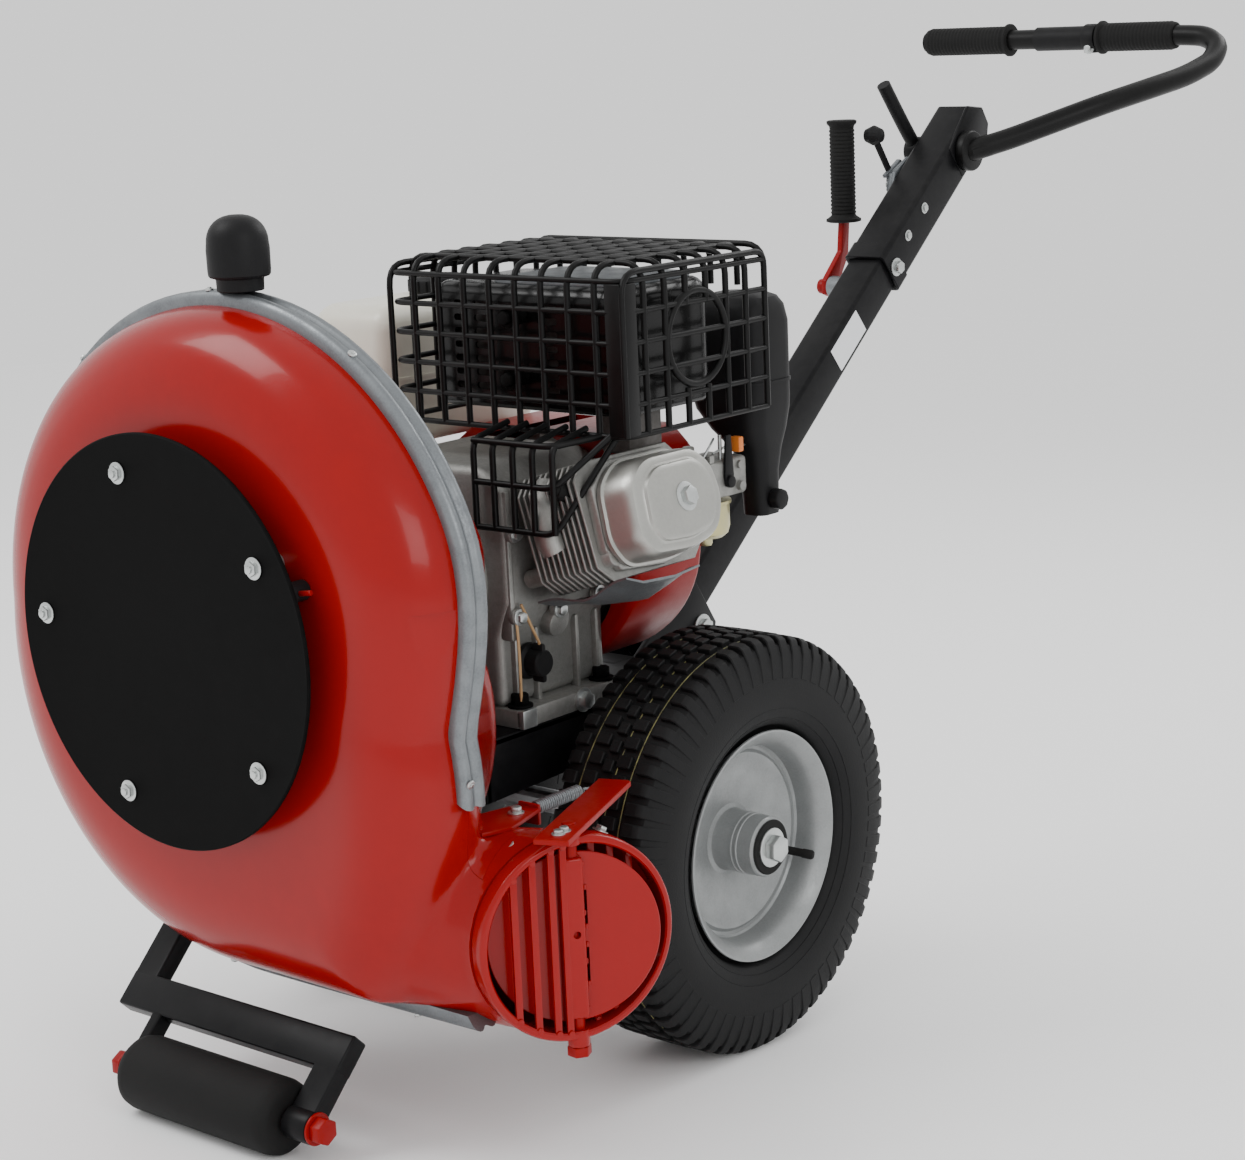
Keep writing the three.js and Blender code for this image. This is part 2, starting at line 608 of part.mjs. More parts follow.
const TANK = { x0: -212, x1: -98, y0: -118, y1: 104, z0: 384.4, z1: 526 };
piece('fuel_tank', cut(
  slab('x', [[TANK.y0, TANK.z0], [TANK.y1, TANK.z0], [TANK.y1, TANK.z1 - 12], [TANK.y1 - 14, TANK.z1],
    [TANK.y0 + 14, TANK.z1], [TANK.y0, TANK.z1 - 12]], TANK.x0, TANK.x1, 9),
  box(TANK.x0 + 12, TANK.x1 - 12, TANK.y0 + 12, TANK.y1 - 12, TANK.z0 + 8, TANK.z1 - 8),
  move(disc('z', 20, TANK.z1 - 20, TANK.z1 + 5, 20), -155, 20, 0),
), CREAM, machine);
const capProfile = [[0, -14], [19.5, -14], [19.5, GAP], [31, GAP], [31, 14], [27, 18], [0, 18]];
piece('fuel_cap', move(turned('z', capProfile, 24), -155, 20, TANK.z1), MATTE_BLACK, machine);

// engine fan side
const SHROUD_R = 142;
const shroudOutline = [];
for (let i = 0; i <= 20; i += 1) {
  const angle = Math.PI + (Math.PI * i) / 20;
  shroudOutline.push([SHROUD_R * Math.cos(angle), FAN_Z + SHROUD_R * 0.9 * Math.sin(angle)]);
}
shroudOutline.push([134, 378], [110, 400], [-70, 400], [-94, 382], [-136, 370]);
const SHROUD_BACK = 72;
piece('fan_shroud', cut(
  slab('y', shroudOutline, CASE_BACK + GAP, SHROUD_BACK),
  move(disc('y', 118, CASE_BACK - 5, SHROUD_BACK - 6, 36), 0, 0, FAN_Z),
  move(disc('y', 70, CASE_BACK, SHROUD_BACK + 5, 24), 0, 0, FAN_Z),
  tilt(finBlock(60, ROCKER_S + 10, 81, -58, 60)),
), RED, machine);
const recoilFace = SHROUD_BACK + 30;
piece('recoil_cover', cut(
  move(turned('y', [[0, SHROUD_BACK + GAP], [112, SHROUD_BACK + GAP], [112, SHROUD_BACK + 8],
    [96, recoilFace - 3], [90, recoilFace], [0, recoilFace]], 36), 0, 0, FAN_Z),
  move(disc('y', 60, SHROUD_BACK - 5, SHROUD_BACK + 20, 24), 0, 0, FAN_Z),
), RED, machine);
piece('recoil_grip', join(
  box(-78, -38, recoilFace + GAP + 2, recoilFace + 16, FAN_Z + 62, FAN_Z + 76),
  move(disc('y', 6, recoilFace + GAP, recoilFace + 6, 12), -58, 0, FAN_Z + 69),
), MATTE_BLACK, machine);
piece('engine_switch', move(join(
  disc('y', 12, SHROUD_BACK + GAP, SHROUD_BACK + 6, 16),
  box(-11, 11, SHROUD_BACK + 5, SHROUD_BACK + 15, -3, 3),
), -118, 0, 338), RED, machine);
const stickProfile = [[0, 0], [17, 0], [17, 6], [12, 9], [12, 24], [0, 24]];
piece('dipstick', move(turned('x', stickProfile, 16), 97 + GAP, -152, 200), MATTE_BLACK, machine);

// rotating parts
const FAN_BACK = -262;
const BLADES = 6;
const FAN_PLATE_R = 120;
const bladeOutline = [[30, -477], [202, -468], [228, -440], [232, -400], [196, -345], [148, -300],
  [FAN_PLATE_R, FAN_BACK + 1], [30, FAN_BACK + 1]];
const blades = Array.from({ length: BLADES }, (_, i) => {
  const blade = slab('z', bladeOutline, -2, 2);
  return blade.rotate([0, (360 / BLADES) * i, 0]);
});
const NOSE_Y = -300;
piece('impeller', move(cut(
  join(disc('y', FAN_PLATE_R, FAN_BACK, FAN_BACK + 5, 36), disc('y', 36, NOSE_Y, FAN_BACK + 10, 20), ...blades),
  disc('y', CRANK_R + GAP, -FAR, 0, 24),
  disc('y', 27, -FAR, NOSE_Y, 20),
), 0, 0, FAN_Z), BLACK, machine);
piece('impeller_bolt', move(hexagon('y', 24, NOSE_Y - 14, NOSE_Y - GAP), 0, 0, FAN_Z), ZINC, machine);
piece('crankshaft', move(join(
  disc('y', CRANK_R, NOSE_Y + GAP, SHROUD_BACK - 8, 24),
  disc('y', 60, -150, -80, 24),
), 0, 0, FAN_Z), STEEL, machine);
piece('flywheel', move(cut(
  turned('y', [[0, -20], [70, -20], [108, 0], [108, 40], [96, 40], [90, 8], [30, 8], [30, 40], [0, 40]], 24),
  disc('y', CRANK_R + GAP, -30, 60, 24),
), 0, 0, FAN_Z), CAST, machine);

// ---- deck, axle and column -------------------------------------------------------------------------
const PLATE = 8;
const sideOutline = [[DECK_FRONT_Y, DECK_TOP], [DECK_BACK_Y, DECK_TOP], [DECK_BACK_Y, 92], [46, 86], [30, -28], [-30, -28],
  [-46, 86], [DECK_FRONT_Y, 80]];
const sidePlate = (inner) => slab('x', sideOutline, inner, inner + PLATE);
const CHEEK_IN = TUBE_HALF + GAP;
const cheekOutline = [[60, 84], [214, 96], [232, 150], [196, 206], [150, 180], [96, DECK_TOP], [60, DECK_TOP]];
const cheek = (x0) => slab('x', cheekOutline, x0, x0 + 7);
const deck = join(
  box(-DECK_HALF_X, DECK_HALF_X, DECK_FRONT_Y, DECK_BACK_Y, DECK_TOP - PLATE, DECK_TOP),
  box(-DECK_HALF_X, DECK_HALF_X, DECK_FRONT_Y, DECK_FRONT_Y + PLATE, 80, DECK_TOP),
  sidePlate(DECK_HALF_X - PLATE), sidePlate(-DECK_HALF_X), cheek(CHEEK_IN), cheek(-CHEEK_IN - 7),
  box(-DECK_HALF_X, DECK_HALF_X, 56, 64, 86, DECK_TOP),
);
const stand = (s, t) => [
  COLUMN_Y + s * Math.cos(COLUMN_TILT) - t * Math.sin(COLUMN_TILT),
  COLUMN_Z + s * Math.sin(COLUMN_TILT) + t * Math.cos(COLUMN_TILT),
];
const columnBox = (wide, s0, s1) =>
  slab('x', [stand(s0, -wide), stand(s1, -wide), stand(s1, wide), stand(s0, wide)], -wide, wide);
const tubeSpace = columnBox(TUBE_HALF + GAP, TUBE_FOOT - 60, 0);
piece('deck', cut(deck, tubeSpace, disc('x', AXLE_R + GAP, -FAR, FAR, 24)), BLACK, machine);

const AXLE_END = 266;
const SPACER_R = 20;
const spacerEnd = TRACK_HALF - HUB_IN - 2 * GAP;
const spacerStart = DECK_HALF_X + GAP;
const axleHalf = [[AXLE_R, spacerStart], [SPACER_R, spacerStart], [SPACER_R, spacerEnd], [AXLE_R, spacerEnd],
  [AXLE_R, AXLE_END], [0, AXLE_END]];
const axleOther = axleHalf.map(([radius, station]) => [radius, -station]).reverse();
piece('axle', turned('x', [...axleOther, ...axleHalf], 16), STEEL, machine);

const lowerTube = cut(columnBox(TUBE_HALF, TUBE_FOOT, 40), columnBox(TUBE_HALF - SLEEVE_WALL, TUBE_FOOT - 20, 80));
piece('column_lower', cut(lowerTube, box(-FAR, FAR, -FAR, DECK_BACK_Y - 30, -FAR, FAR)), BLACK, machine);
const sleeve = cut(columnBox(SLEEVE_HALF, SLEEVE_LOW, SLEEVE_TOP), columnBox(TUBE_HALF + GAP, SLEEVE_LOW - 5, SLEEVE_TOP - 4));
const pivotBore = move(disc('x', 6 + GAP, -60, 60, 16), 0, PIVOT_Y, PIVOT_Z);
piece('column_upper', cut(sleeve, pivotBore), BLACK, machine);

// ---- front roller ----------------------------------------------------------------------------------
const CROSS_S = 69;
const LEG_END_S = 335;
const inclined = (s, t) => [
  ROLLER_Y + s * Math.cos(FORK_TILT) - t * Math.sin(FORK_TILT),
  ROLLER_Z + s * Math.sin(FORK_TILT) + t * Math.cos(FORK_TILT),
];
const forkBar = (x0, x1, s0, s1) => {
  const t = FORK_THICK / 2;
  return slab('x', [inclined(s0, -t), inclined(s1, -t), inclined(s1, t), inclined(s0, t)], x0, x1);
};
const legIn = FORK_LEFT + FORK_WIDE - 4;
const crossHigh = CROSS_S + FORK_WIDE / 2;
const rightArmIn = ROLLER_X + ROLLER_HALF + 3;
const leftArmOut = ROLLER_X - ROLLER_HALF - 15;
const [legY, legZ] = inclined(LEG_END_S, 0);
piece('roller_fork', cut(
  join(
    forkBar(FORK_LEFT, FORK_RIGHT, CROSS_S - FORK_WIDE / 2, crossHigh),
    forkBar(FORK_LEFT, legIn, CROSS_S, LEG_END_S),
    forkBar(rightArmIn, FORK_RIGHT, -14, CROSS_S),
    forkBar(leftArmOut, leftArmOut + 12, -14, CROSS_S),
    box(FORK_LEFT, -100, legY - 2, DECK_FRONT_Y - GAP, legZ - 12, legZ + 12),
  ),
  move(disc('x', 8 + GAP, -FAR, FAR, 16), 0, ROLLER_Y, ROLLER_Z),
), BLACK, machine);
piece('roller', move(turned('x', [[8 + GAP, -ROLLER_HALF], [ROLLER_R - 8, -ROLLER_HALF], [ROLLER_R - 2, -ROLLER_HALF + 3],
  [ROLLER_R, -ROLLER_HALF + 9], [ROLLER_R, ROLLER_HALF - 9], [ROLLER_R - 2, ROLLER_HALF - 3], [ROLLER_R - 8, ROLLER_HALF],
  [8 + GAP, ROLLER_HALF]], 28), ROLLER_X, ROLLER_Y, ROLLER_Z), RUBBER, machine);
piece('roller_axle', move(join(
  disc('x', 8, leftArmOut - 4, FORK_RIGHT + 4, 16),
  hexagon('x', 22, FORK_RIGHT + GAP, FORK_RIGHT + 15),
  hexagon('x', 22, leftArmOut - 10, leftArmOut - GAP),
), 0, ROLLER_Y, ROLLER_Z), RED, machine);

// ---- wheels ----------------------------------------------------------------------------------------
const TYRE_SIDES = 28;
const half = TYRE_HALF_W;
const tread = TREAD_HALF_W;
const tyreProfile = [[103.4, -35], [115, -39], [119, 10 - half], [150, -half], [TYRE_R - 18, 2 - half],
  [TYRE_R - 4, -tread], [TYRE_R, 12 - tread], [TYRE_R, tread - 12], [TYRE_R - 4, tread], [TYRE_R - 18, half - 2],
  [150, half], [119, half - 10], [115, 39], [103.4, 35], [103.4, 27],
  [145, half - 12], [TYRE_R - 18, tread - 6], [TYRE_R - 12, tread - 18], [TYRE_R - 12, 18 - tread],
  [TYRE_R - 18, 6 - tread], [145, 12 - half], [103.4, -27]];
const rimProfile = [[AXLE_R + GAP, -HUB_IN], [HUB_R, -HUB_IN], [HUB_R, 0], [88, 12], [96, 6], [97, -36], [RIM_R, -50],
  [RIM_R, -46], [102, -36], [102, 36], [RIM_R, 46], [RIM_R, 50], [97, 38], [96, 16], [88, 18],
  [HUB_R, 6], [HUB_R, HUB_OUT], [AXLE_R + GAP, HUB_OUT]];
for (const [name, side] of [['left', -1], ['right', 1]]) {
  const wheel = new THREE.Group();
  wheel.name = `wheel_${name}`;
  wheel.position.x = side * TRACK_HALF;
  wheel.rotation.y = side > 0 ? 0 : Math.PI;
  machine.add(wheel);
  piece(`tyre_${name}`, turned('x', tyreProfile, TYRE_SIDES), RUBBER, wheel);
  piece(`rim_${name}`, turned('x', rimProfile, 22), SILVER, wheel);
  const washer = disc('x', 22, HUB_OUT + GAP, HUB_OUT + 3, 20);
  piece(`wheel_nut_${name}`, join(washer, hexagon('x', 24, HUB_OUT + 2, HUB_OUT + 13)), ZINC, wheel);
}

// ---- handlebar and controls ------------------------------------------------------------------------
const BEND_X = 208;
const SWIVEL_X = SLEEVE_HALF + 1;
const BAR_END = -232;
const barPath = [[SWIVEL_X + 8, PIVOT_Y, PIVOT_Z], [70, 782, 634], [112, 818, 652], [150, 857, 669], [180, 916, 684],
  [200, 980, 697], [BEND_X, 1030, 712], [203, 1058, 730], [180, CROSSBAR_Y, 742],
  ...[150, 60, -60, -150, BAR_END].map((x) => [x, CROSSBAR_Y, CROSSBAR_Z])];
const pivotPlate = move(disc('x', 24, SWIVEL_X, SWIVEL_X + 12, 20), 0, PIVOT_Y, PIVOT_Z);
const pivotHole = move(disc('x', 6 + GAP, 0, SWIVEL_X + 10, 16), 0, PIVOT_Y, PIVOT_Z);
piece('handlebar', cut(join(bar(barPath, BAR_R, 8, 26), pivotPlate), pivotHole), BLACK, machine);
const grip = (x0, x1) => move(cut(
  turned('x', [[0, x0], [GRIP_R + 3, x0], [GRIP_R + 3, x0 + 5], [GRIP_R, x0 + 8], [GRIP_R, x1], [0, x1]], 20),
  disc('x', BAR_R + GAP, x0 - 5, x1 + 5, 20),
), 0, CROSSBAR_Y, CROSSBAR_Z);
piece('grip_right', grip(32, 140), RUBBER, machine);
piece('grip_left', grip(-228, -100), RUBBER, machine);

const LEVER_X = -SLEEVE_HALF - 1;
piece('clamp_lever', move(join(
  disc('x', 6, LEVER_X - 4, SWIVEL_X + 6, 16),
  turned('x', [[0, LEVER_X - 26], [13, LEVER_X - 26], [17, LEVER_X - 4], [17, LEVER_X], [0, LEVER_X]], 20),
  bar([[LEVER_X - 14, -6, 6], [LEVER_X - 18, -34, 44], [LEVER_X - 22, -64, 88]], 9, 10, 8),
), 0, PIVOT_Y, PIVOT_Z), MATTE_BLACK, machine);

const THROTTLE = { y: 700, z: 590, x: -SLEEVE_HALF };
const throttlePlate = (outline, from, to) =>
  slab('x', outline.map(([y, z]) => [THROTTLE.y + y, THROTTLE.z + z]), THROTTLE.x + from, THROTTLE.x + to);
piece('throttle_bracket', join(
  throttlePlate([[-26, -14], [-8, -24], [24, 4], [26, 20], [10, 28], [-20, 12]], -5, -GAP),
  throttlePlate([[-21, -11], [-6, -19], [19, 3], [8, 22], [-16, 10]], -14, -4),
), ZINC, machine);
const THROTTLE_LEN = 66;
piece('throttle_lever', move(join(
  disc('x', 10, -20, -14 - GAP, 16),
  slab('x', [[-5, 0], [5, 0], [-33, THROTTLE_LEN - 12], [-41, THROTTLE_LEN - 16]], -18, -15),
  move(turned('x', [[0, -12], [8, -10], [12, 0], [8, 10], [0, 12]], 16), -17, -38, THROTTLE_LEN - 10),
), THROTTLE.x, THROTTLE.y, THROTTLE.z), MATTE_BLACK, machine);

const FLAP_PIVOT = { y: 616, z: 470 };
const FLAP_LEVER_X = -SLEEVE_HALF - 56;
const GRIP_LOW = 74;
const GRIP_HIGH = 190;
const LUG = 5;
const lugOutline = [[-22, -20], [20, -22], [62, 22], [34, 48], [-24, 22]];
piece('flap_lever_bracket', move(cut(
  join(
    slab('x', lugOutline, -SLEEVE_HALF - LUG, -SLEEVE_HALF - GAP),
    disc('x', 13, FLAP_LEVER_X + 4 + GAP, -SLEEVE_HALF - LUG + 1, 20),
  ),
  disc('x', 5 + GAP, FLAP_LEVER_X, 0, 16),
), 0, FLAP_PIVOT.y, FLAP_PIVOT.z), ZINC, machine);
const leverOutline = [[-10, -8], [0, -12], [10, -8], [38, 34], [42, GRIP_LOW], [42, GRIP_HIGH - 10],
  [28, GRIP_HIGH - 10], [28, GRIP_LOW], [24, 40], [-10, 8]];
piece('flap_lever', move(join(
  slab('x', leverOutline, FLAP_LEVER_X - 4, FLAP_LEVER_X + 4),
  disc('x', 5, FLAP_LEVER_X - 10, -SLEEVE_HALF - 2, 16),
  disc('x', 9, FLAP_LEVER_X - 12, FLAP_LEVER_X - 3, 16),
), 0, FLAP_PIVOT.y, FLAP_PIVOT.z), RED, machine);
piece('flap_lever_grip', move(cut(
  turned('z', [[0, GRIP_LOW], [21, GRIP_LOW], [21, GRIP_LOW + 5], [15, GRIP_LOW + 9], [15, GRIP_HIGH],
    [18, GRIP_HIGH + 2], [18, GRIP_HIGH + 5], [0, GRIP_HIGH + 5]], 20),
  box(-4 - GAP, 4 + GAP, -7 - GAP, 7 + GAP, GRIP_LOW - 5, GRIP_HIGH - 10 + GAP),
), FLAP_LEVER_X, FLAP_PIVOT.y + 35, FLAP_PIVOT.z), RUBBER, machine);

// ---- the whole machine over its footprint ----------------------------------------------------------
blower.updateMatrixWorld(true);
const bounds = new THREE.Box3().setFromObject(blower, true);
const middle = bounds.getCenter(new THREE.Vector3());
blower.position.set(-middle.x, -middle.y, -bounds.min.z);
blower.updateMatrixWorld(true);

export default blower;
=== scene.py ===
import json
import math
import bpy
import bmesh
from mathutils import Matrix, Vector


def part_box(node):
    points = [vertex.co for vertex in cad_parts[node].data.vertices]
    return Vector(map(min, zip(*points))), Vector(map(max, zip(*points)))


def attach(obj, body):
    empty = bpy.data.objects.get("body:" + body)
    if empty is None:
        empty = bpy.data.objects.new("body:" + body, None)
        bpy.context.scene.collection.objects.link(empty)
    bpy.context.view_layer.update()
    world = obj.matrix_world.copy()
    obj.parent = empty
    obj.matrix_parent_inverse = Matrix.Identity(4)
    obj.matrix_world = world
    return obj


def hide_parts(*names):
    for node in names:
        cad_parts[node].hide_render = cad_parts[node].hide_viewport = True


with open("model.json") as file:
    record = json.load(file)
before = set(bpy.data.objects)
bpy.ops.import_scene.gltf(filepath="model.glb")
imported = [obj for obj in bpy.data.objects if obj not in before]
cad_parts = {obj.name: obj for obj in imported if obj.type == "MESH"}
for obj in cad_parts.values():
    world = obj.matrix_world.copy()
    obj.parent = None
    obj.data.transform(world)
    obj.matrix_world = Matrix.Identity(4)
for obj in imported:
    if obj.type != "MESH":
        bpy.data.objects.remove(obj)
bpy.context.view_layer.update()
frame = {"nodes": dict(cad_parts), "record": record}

NODES = frame["nodes"]
JOINTS = {j["name"]: j for j in frame["record"]["behaviour"]["joints"]}

# ---- where the machine sits ---------------------------------------------------------------------------
rotor_axis = Vector(JOINTS["rotor_spin"]["axis"])
PITCH = math.atan2(rotor_axis.z, rotor_axis.y)
axle_low, axle_high = (Vector(c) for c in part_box("axle"))
AXLE = (axle_low + axle_high) / 2
MACHINE = Matrix.Translation(AXLE) @ Matrix.Rotation(PITCH, 4, "X")
MM = 0.001

FAN_Z = 283
SEAM_Y = -413
SCROLL_R = 286
SCROLL_BOTTOM = 322
SCROLL_TUCK = 23
HOUSING_FRONT_Y = -490
HOUSING_BACK_Y = -243
SHEET = 3
TRIM_END_X = 272
DUCT = (308, -347, 27)
DUCT_R = 92
DUCT_TURN = math.radians(-23.3)
OUTLET = Matrix.Translation(Vector(DUCT) * MM) @ Matrix.Rotation(DUCT_TURN, 4, "Z")
HINGE_X = 11
FLAP_R = 77
FLAP_AJAR = math.radians(-13)
COVER_Y = -516
COVER_R = 186
COVER_BOLT_R = 153
CYL_TILT = math.radians(17.2)
CYL_Y = -101
COLUMN_TILT = math.radians(39)


# ---- making and finishing pieces ------------------------------------------------------------------------
def fresh():
    if bpy.context.object and bpy.context.object.mode != "OBJECT":
        bpy.ops.object.mode_set(mode="OBJECT")
    bpy.ops.object.select_all(action="DESELECT")


def only(obj):
    fresh()
    obj.select_set(True)
    bpy.context.view_layer.objects.active = obj


def edit_all(obj):
    only(obj)
    bpy.ops.object.mode_set(mode="EDIT")
    bpy.ops.mesh.select_all(action="SELECT")


def settle(obj, matrix=None):
    """Puts a piece made in the machine's own millimetres in the row frame, its place in its mesh."""
    fresh()
    obj.select_set(True)
    bpy.context.view_layer.objects.active = obj
    scale = Matrix.Scale(MM, 4)
    obj.matrix_world = (matrix if matrix is not None else MACHINE) @ scale @ obj.matrix_world
    bpy.ops.object.transform_apply(location=True, rotation=True, scale=True)
    return obj


def joined(pieces):
    fresh()
    for p in pieces:
        p.select_set(True)
    bpy.context.view_layer.objects.active = pieces[0]
    bpy.ops.object.join()
    return pieces[0]


def circle_of(points):
    """A ring of vertices at the given points, left in edit mode with everything selected."""
    fresh()
    bpy.ops.mesh.primitive_circle_add(vertices=len(points), radius=1)
    obj = bpy.context.object
    for vertex, point in zip(obj.data.vertices, points):
        vertex.co = point
    edit_all(obj)
    return obj


def loft(rings, ends=True, closed=False):
    """Extrudes a ring through the others, and closes both ends or joins the last ring to the first."""
    obj = circle_of(rings[0])
    if ends and not closed:
        bpy.ops.mesh.edge_face_add()
        bpy.ops.mesh.select_mode(type="EDGE")
        bm = bmesh.from_edit_mesh(obj.data)
        bm.select_mode = {"EDGE"}
        for face in bm.faces:
            face.select_set(False)
        for edge in bm.edges:
            edge.select_set(True)
        bmesh.update_edit_mesh(obj.data)
    previous = [Vector(p) for p in rings[0]]
    for ring in rings[1:]:
        bpy.ops.mesh.extrude_edges_move()
        bm = bmesh.from_edit_mesh(obj.data)
        spot = {tuple(round(c, 3) for c in p): i for i, p in enumerate(previous)}
        for vertex in bm.verts:
            if vertex.select:
                vertex.co = ring[spot[tuple(round(c, 3) for c in vertex.co)]]
        bmesh.update_edit_mesh(obj.data)
        previous = [Vector(p) for p in ring]
    if ends and not closed:
        bpy.ops.mesh.edge_face_add()
    tidy_mesh(obj)
    return obj


def tidy_mesh(obj, distance=0.01):
    edit_all(obj)
    bpy.ops.mesh.remove_doubles(threshold=distance)
    bpy.ops.mesh.dissolve_degenerate(threshold=distance / 2)
    bpy.ops.mesh.delete_loose(use_verts=True, use_edges=True, use_faces=False)
    bpy.ops.mesh.select_all(action="SELECT")
    bpy.ops.mesh.normals_make_consistent(inside=False)
    bpy.ops.object.mode_set(mode="OBJECT")


AXIS = {"x": Vector((1, 0, 0)), "y": Vector((0, 1, 0)), "z": Vector((0, 0, 1))}
OUT = {"x": Vector((0, 0, 1)), "y": Vector((0, 0, 1)), "z": Vector((1, 0, 0))}


def spun(profile, axis="y", at=(0, 0, 0), steps=64):
    """A closed profile of (radius, station) spun once about an axis through a point."""
    centre = Vector(at)
    points = [centre + OUT[axis] * r + AXIS[axis] * s for r, s in profile]
    obj = circle_of(points)
    bpy.ops.mesh.spin(steps=steps, angle=2 * math.pi, center=centre, axis=AXIS[axis])
    tidy_mesh(obj)
    return obj


def plate(outline, axis, low, high, bevel=0.0, segments=2):
    """A flat outline extruded between two stations: (y, z) for x, (x, z) for y and (x, y) for z."""
    lift = {"x": lambda u, v: (low, u, v), "y": lambda u, v: (u, low, v), "z": lambda u, v: (u, v, low)}[axis]
    obj = circle_of([Vector(lift(u, v)) for u, v in outline])
    bpy.ops.mesh.edge_face_add()
    bpy.ops.mesh.extrude_region_move(TRANSFORM_OT_translate={"value": AXIS[axis] * (high - low)})
    tidy_mesh(obj)
    if bevel:
        rounded(obj, bevel, segments)
    return obj


def block(x0, x1, y0, y1, z0, z1, bevel=0.0, segments=2):
    fresh()
    bpy.ops.mesh.primitive_cube_add(size=1, location=((x0 + x1) / 2, (y0 + y1) / 2, (z0 + z1) / 2))
    obj = bpy.context.object
    obj.scale = (x1 - x0, y1 - y0, z1 - z0)
    bpy.ops.object.transform_apply(location=True, rotation=True, scale=True)
    if bevel:
        rounded(obj, bevel, segments)
    return obj


def rounded(obj, width, segments=2, angle=30):
    only(obj)
    bevel = obj.modifiers.new("rounded edges", "BEVEL")
    bevel.width = width
    bevel.segments = segments
    bevel.limit_method = "ANGLE"
    bevel.angle_limit = math.radians(angle)
    bpy.ops.object.modifier_apply(modifier=bevel.name)
    return obj


def tube(points, radius, sides=16, smooth=False, resolution=8):
    """A round bar along points."""
    curve = bpy.data.curves.new("bar", "CURVE")
    curve.dimensions = "3D"
    curve.bevel_depth = radius
    curve.bevel_resolution = max(1, sides // 4 - 1)
    curve.use_fill_caps = True
    curve.resolution_u = resolution
    spline = curve.splines.new("NURBS" if smooth else "POLY")
    spline.points.add(len(points) - 1)
    for point, place in zip(spline.points, points):
        point.co = (*place, 1)
    if smooth:
        spline.order_u = 4
        spline.use_endpoint_u = True
    obj = bpy.data.objects.new("bar", curve)
    bpy.context.collection.objects.link(obj)
    only(obj)
    bpy.ops.object.convert(target="MESH")
    obj = bpy.context.object
    tidy_mesh(obj)
    return obj


def rod(start, end, radius, sides=20, bevel=0.0):
    a, b = Vector(start), Vector(end)
    fresh()
    bpy.ops.mesh.primitive_cylinder_add(vertices=sides, radius=radius, depth=(b - a).length)
    obj = bpy.context.object
    obj.matrix_world = Matrix.Translation((a + b) / 2) @ (b - a).to_track_quat("Z", "Y").to_matrix().to_4x4()
    bpy.ops.object.transform_apply(location=True, rotation=True, scale=True)
    if bevel:
        rounded(obj, bevel, 2, 50)
    return obj


def carve(obj, *tools, mode="DIFFERENCE"):
    for tool in tools:
        only(obj)
        cut = obj.modifiers.new("cut", "BOOLEAN")
        cut.operation = mode
        cut.solver = "EXACT"
        cut.object = tool
        bpy.ops.object.modifier_apply(modifier=cut.name)
        bpy.data.objects.remove(tool, do_unlink=True)
    return obj


def smooth(obj, angle=35):
    only(obj)
    bpy.ops.object.shade_smooth_by_angle(angle=math.radians(angle))
    return obj


def piece(obj, name, body, material, replaces=(), angle=35, matrix=None):
    settle(obj, matrix)
    smooth(obj, angle)
    obj.name = name
    obj.data.name = name
    obj.data.materials.clear()
    obj.data.materials.append(material)
    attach(obj, body)
    if replaces:
        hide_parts(*replaces)
    return obj


def hex_bolt(at, axis, across, height, washer=True):
    """A hexagon head on its washer, standing on a face at a point and facing along axis."""
    a = Vector(at)
    n = Vector(axis).normalized()
    parts = []
    if washer:
        parts.append(rod(a, a + n * height * 0.22, across * 0.82, 24, across * 0.03))
    head = rod(a + n * height * (0.2 if washer else 0), a + n * height, across / math.sqrt(3), 6)
    parts.append(rounded(head, across * 0.06, 2, 40))
    return parts


# ---- finishes -------------------------------------------------------------------------------------------
def group_tree(name, inputs, outputs):
    tree = bpy.data.node_groups.new(name, "ShaderNodeTree")
    for title, kind, default in inputs:
        socket = tree.interface.new_socket(title, in_out="INPUT", socket_type=kind)
        socket.default_value = default
    for title, kind in outputs:
        tree.interface.new_socket(title, in_out="OUTPUT", socket_type=kind)
    return tree, tree.nodes.new("NodeGroupInput"), tree.nodes.new("NodeGroupOutput")


def node(tree, kind, **values):
    made = tree.nodes.new(kind)
    for key, value in values.items():
        if key.startswith("in_"):
            made.inputs[int(key[3:]) if key[3:].isdigit() else key[3:].replace("_",
                    " ")].default_value = value
        else:
            setattr(made, key, value)
    return made


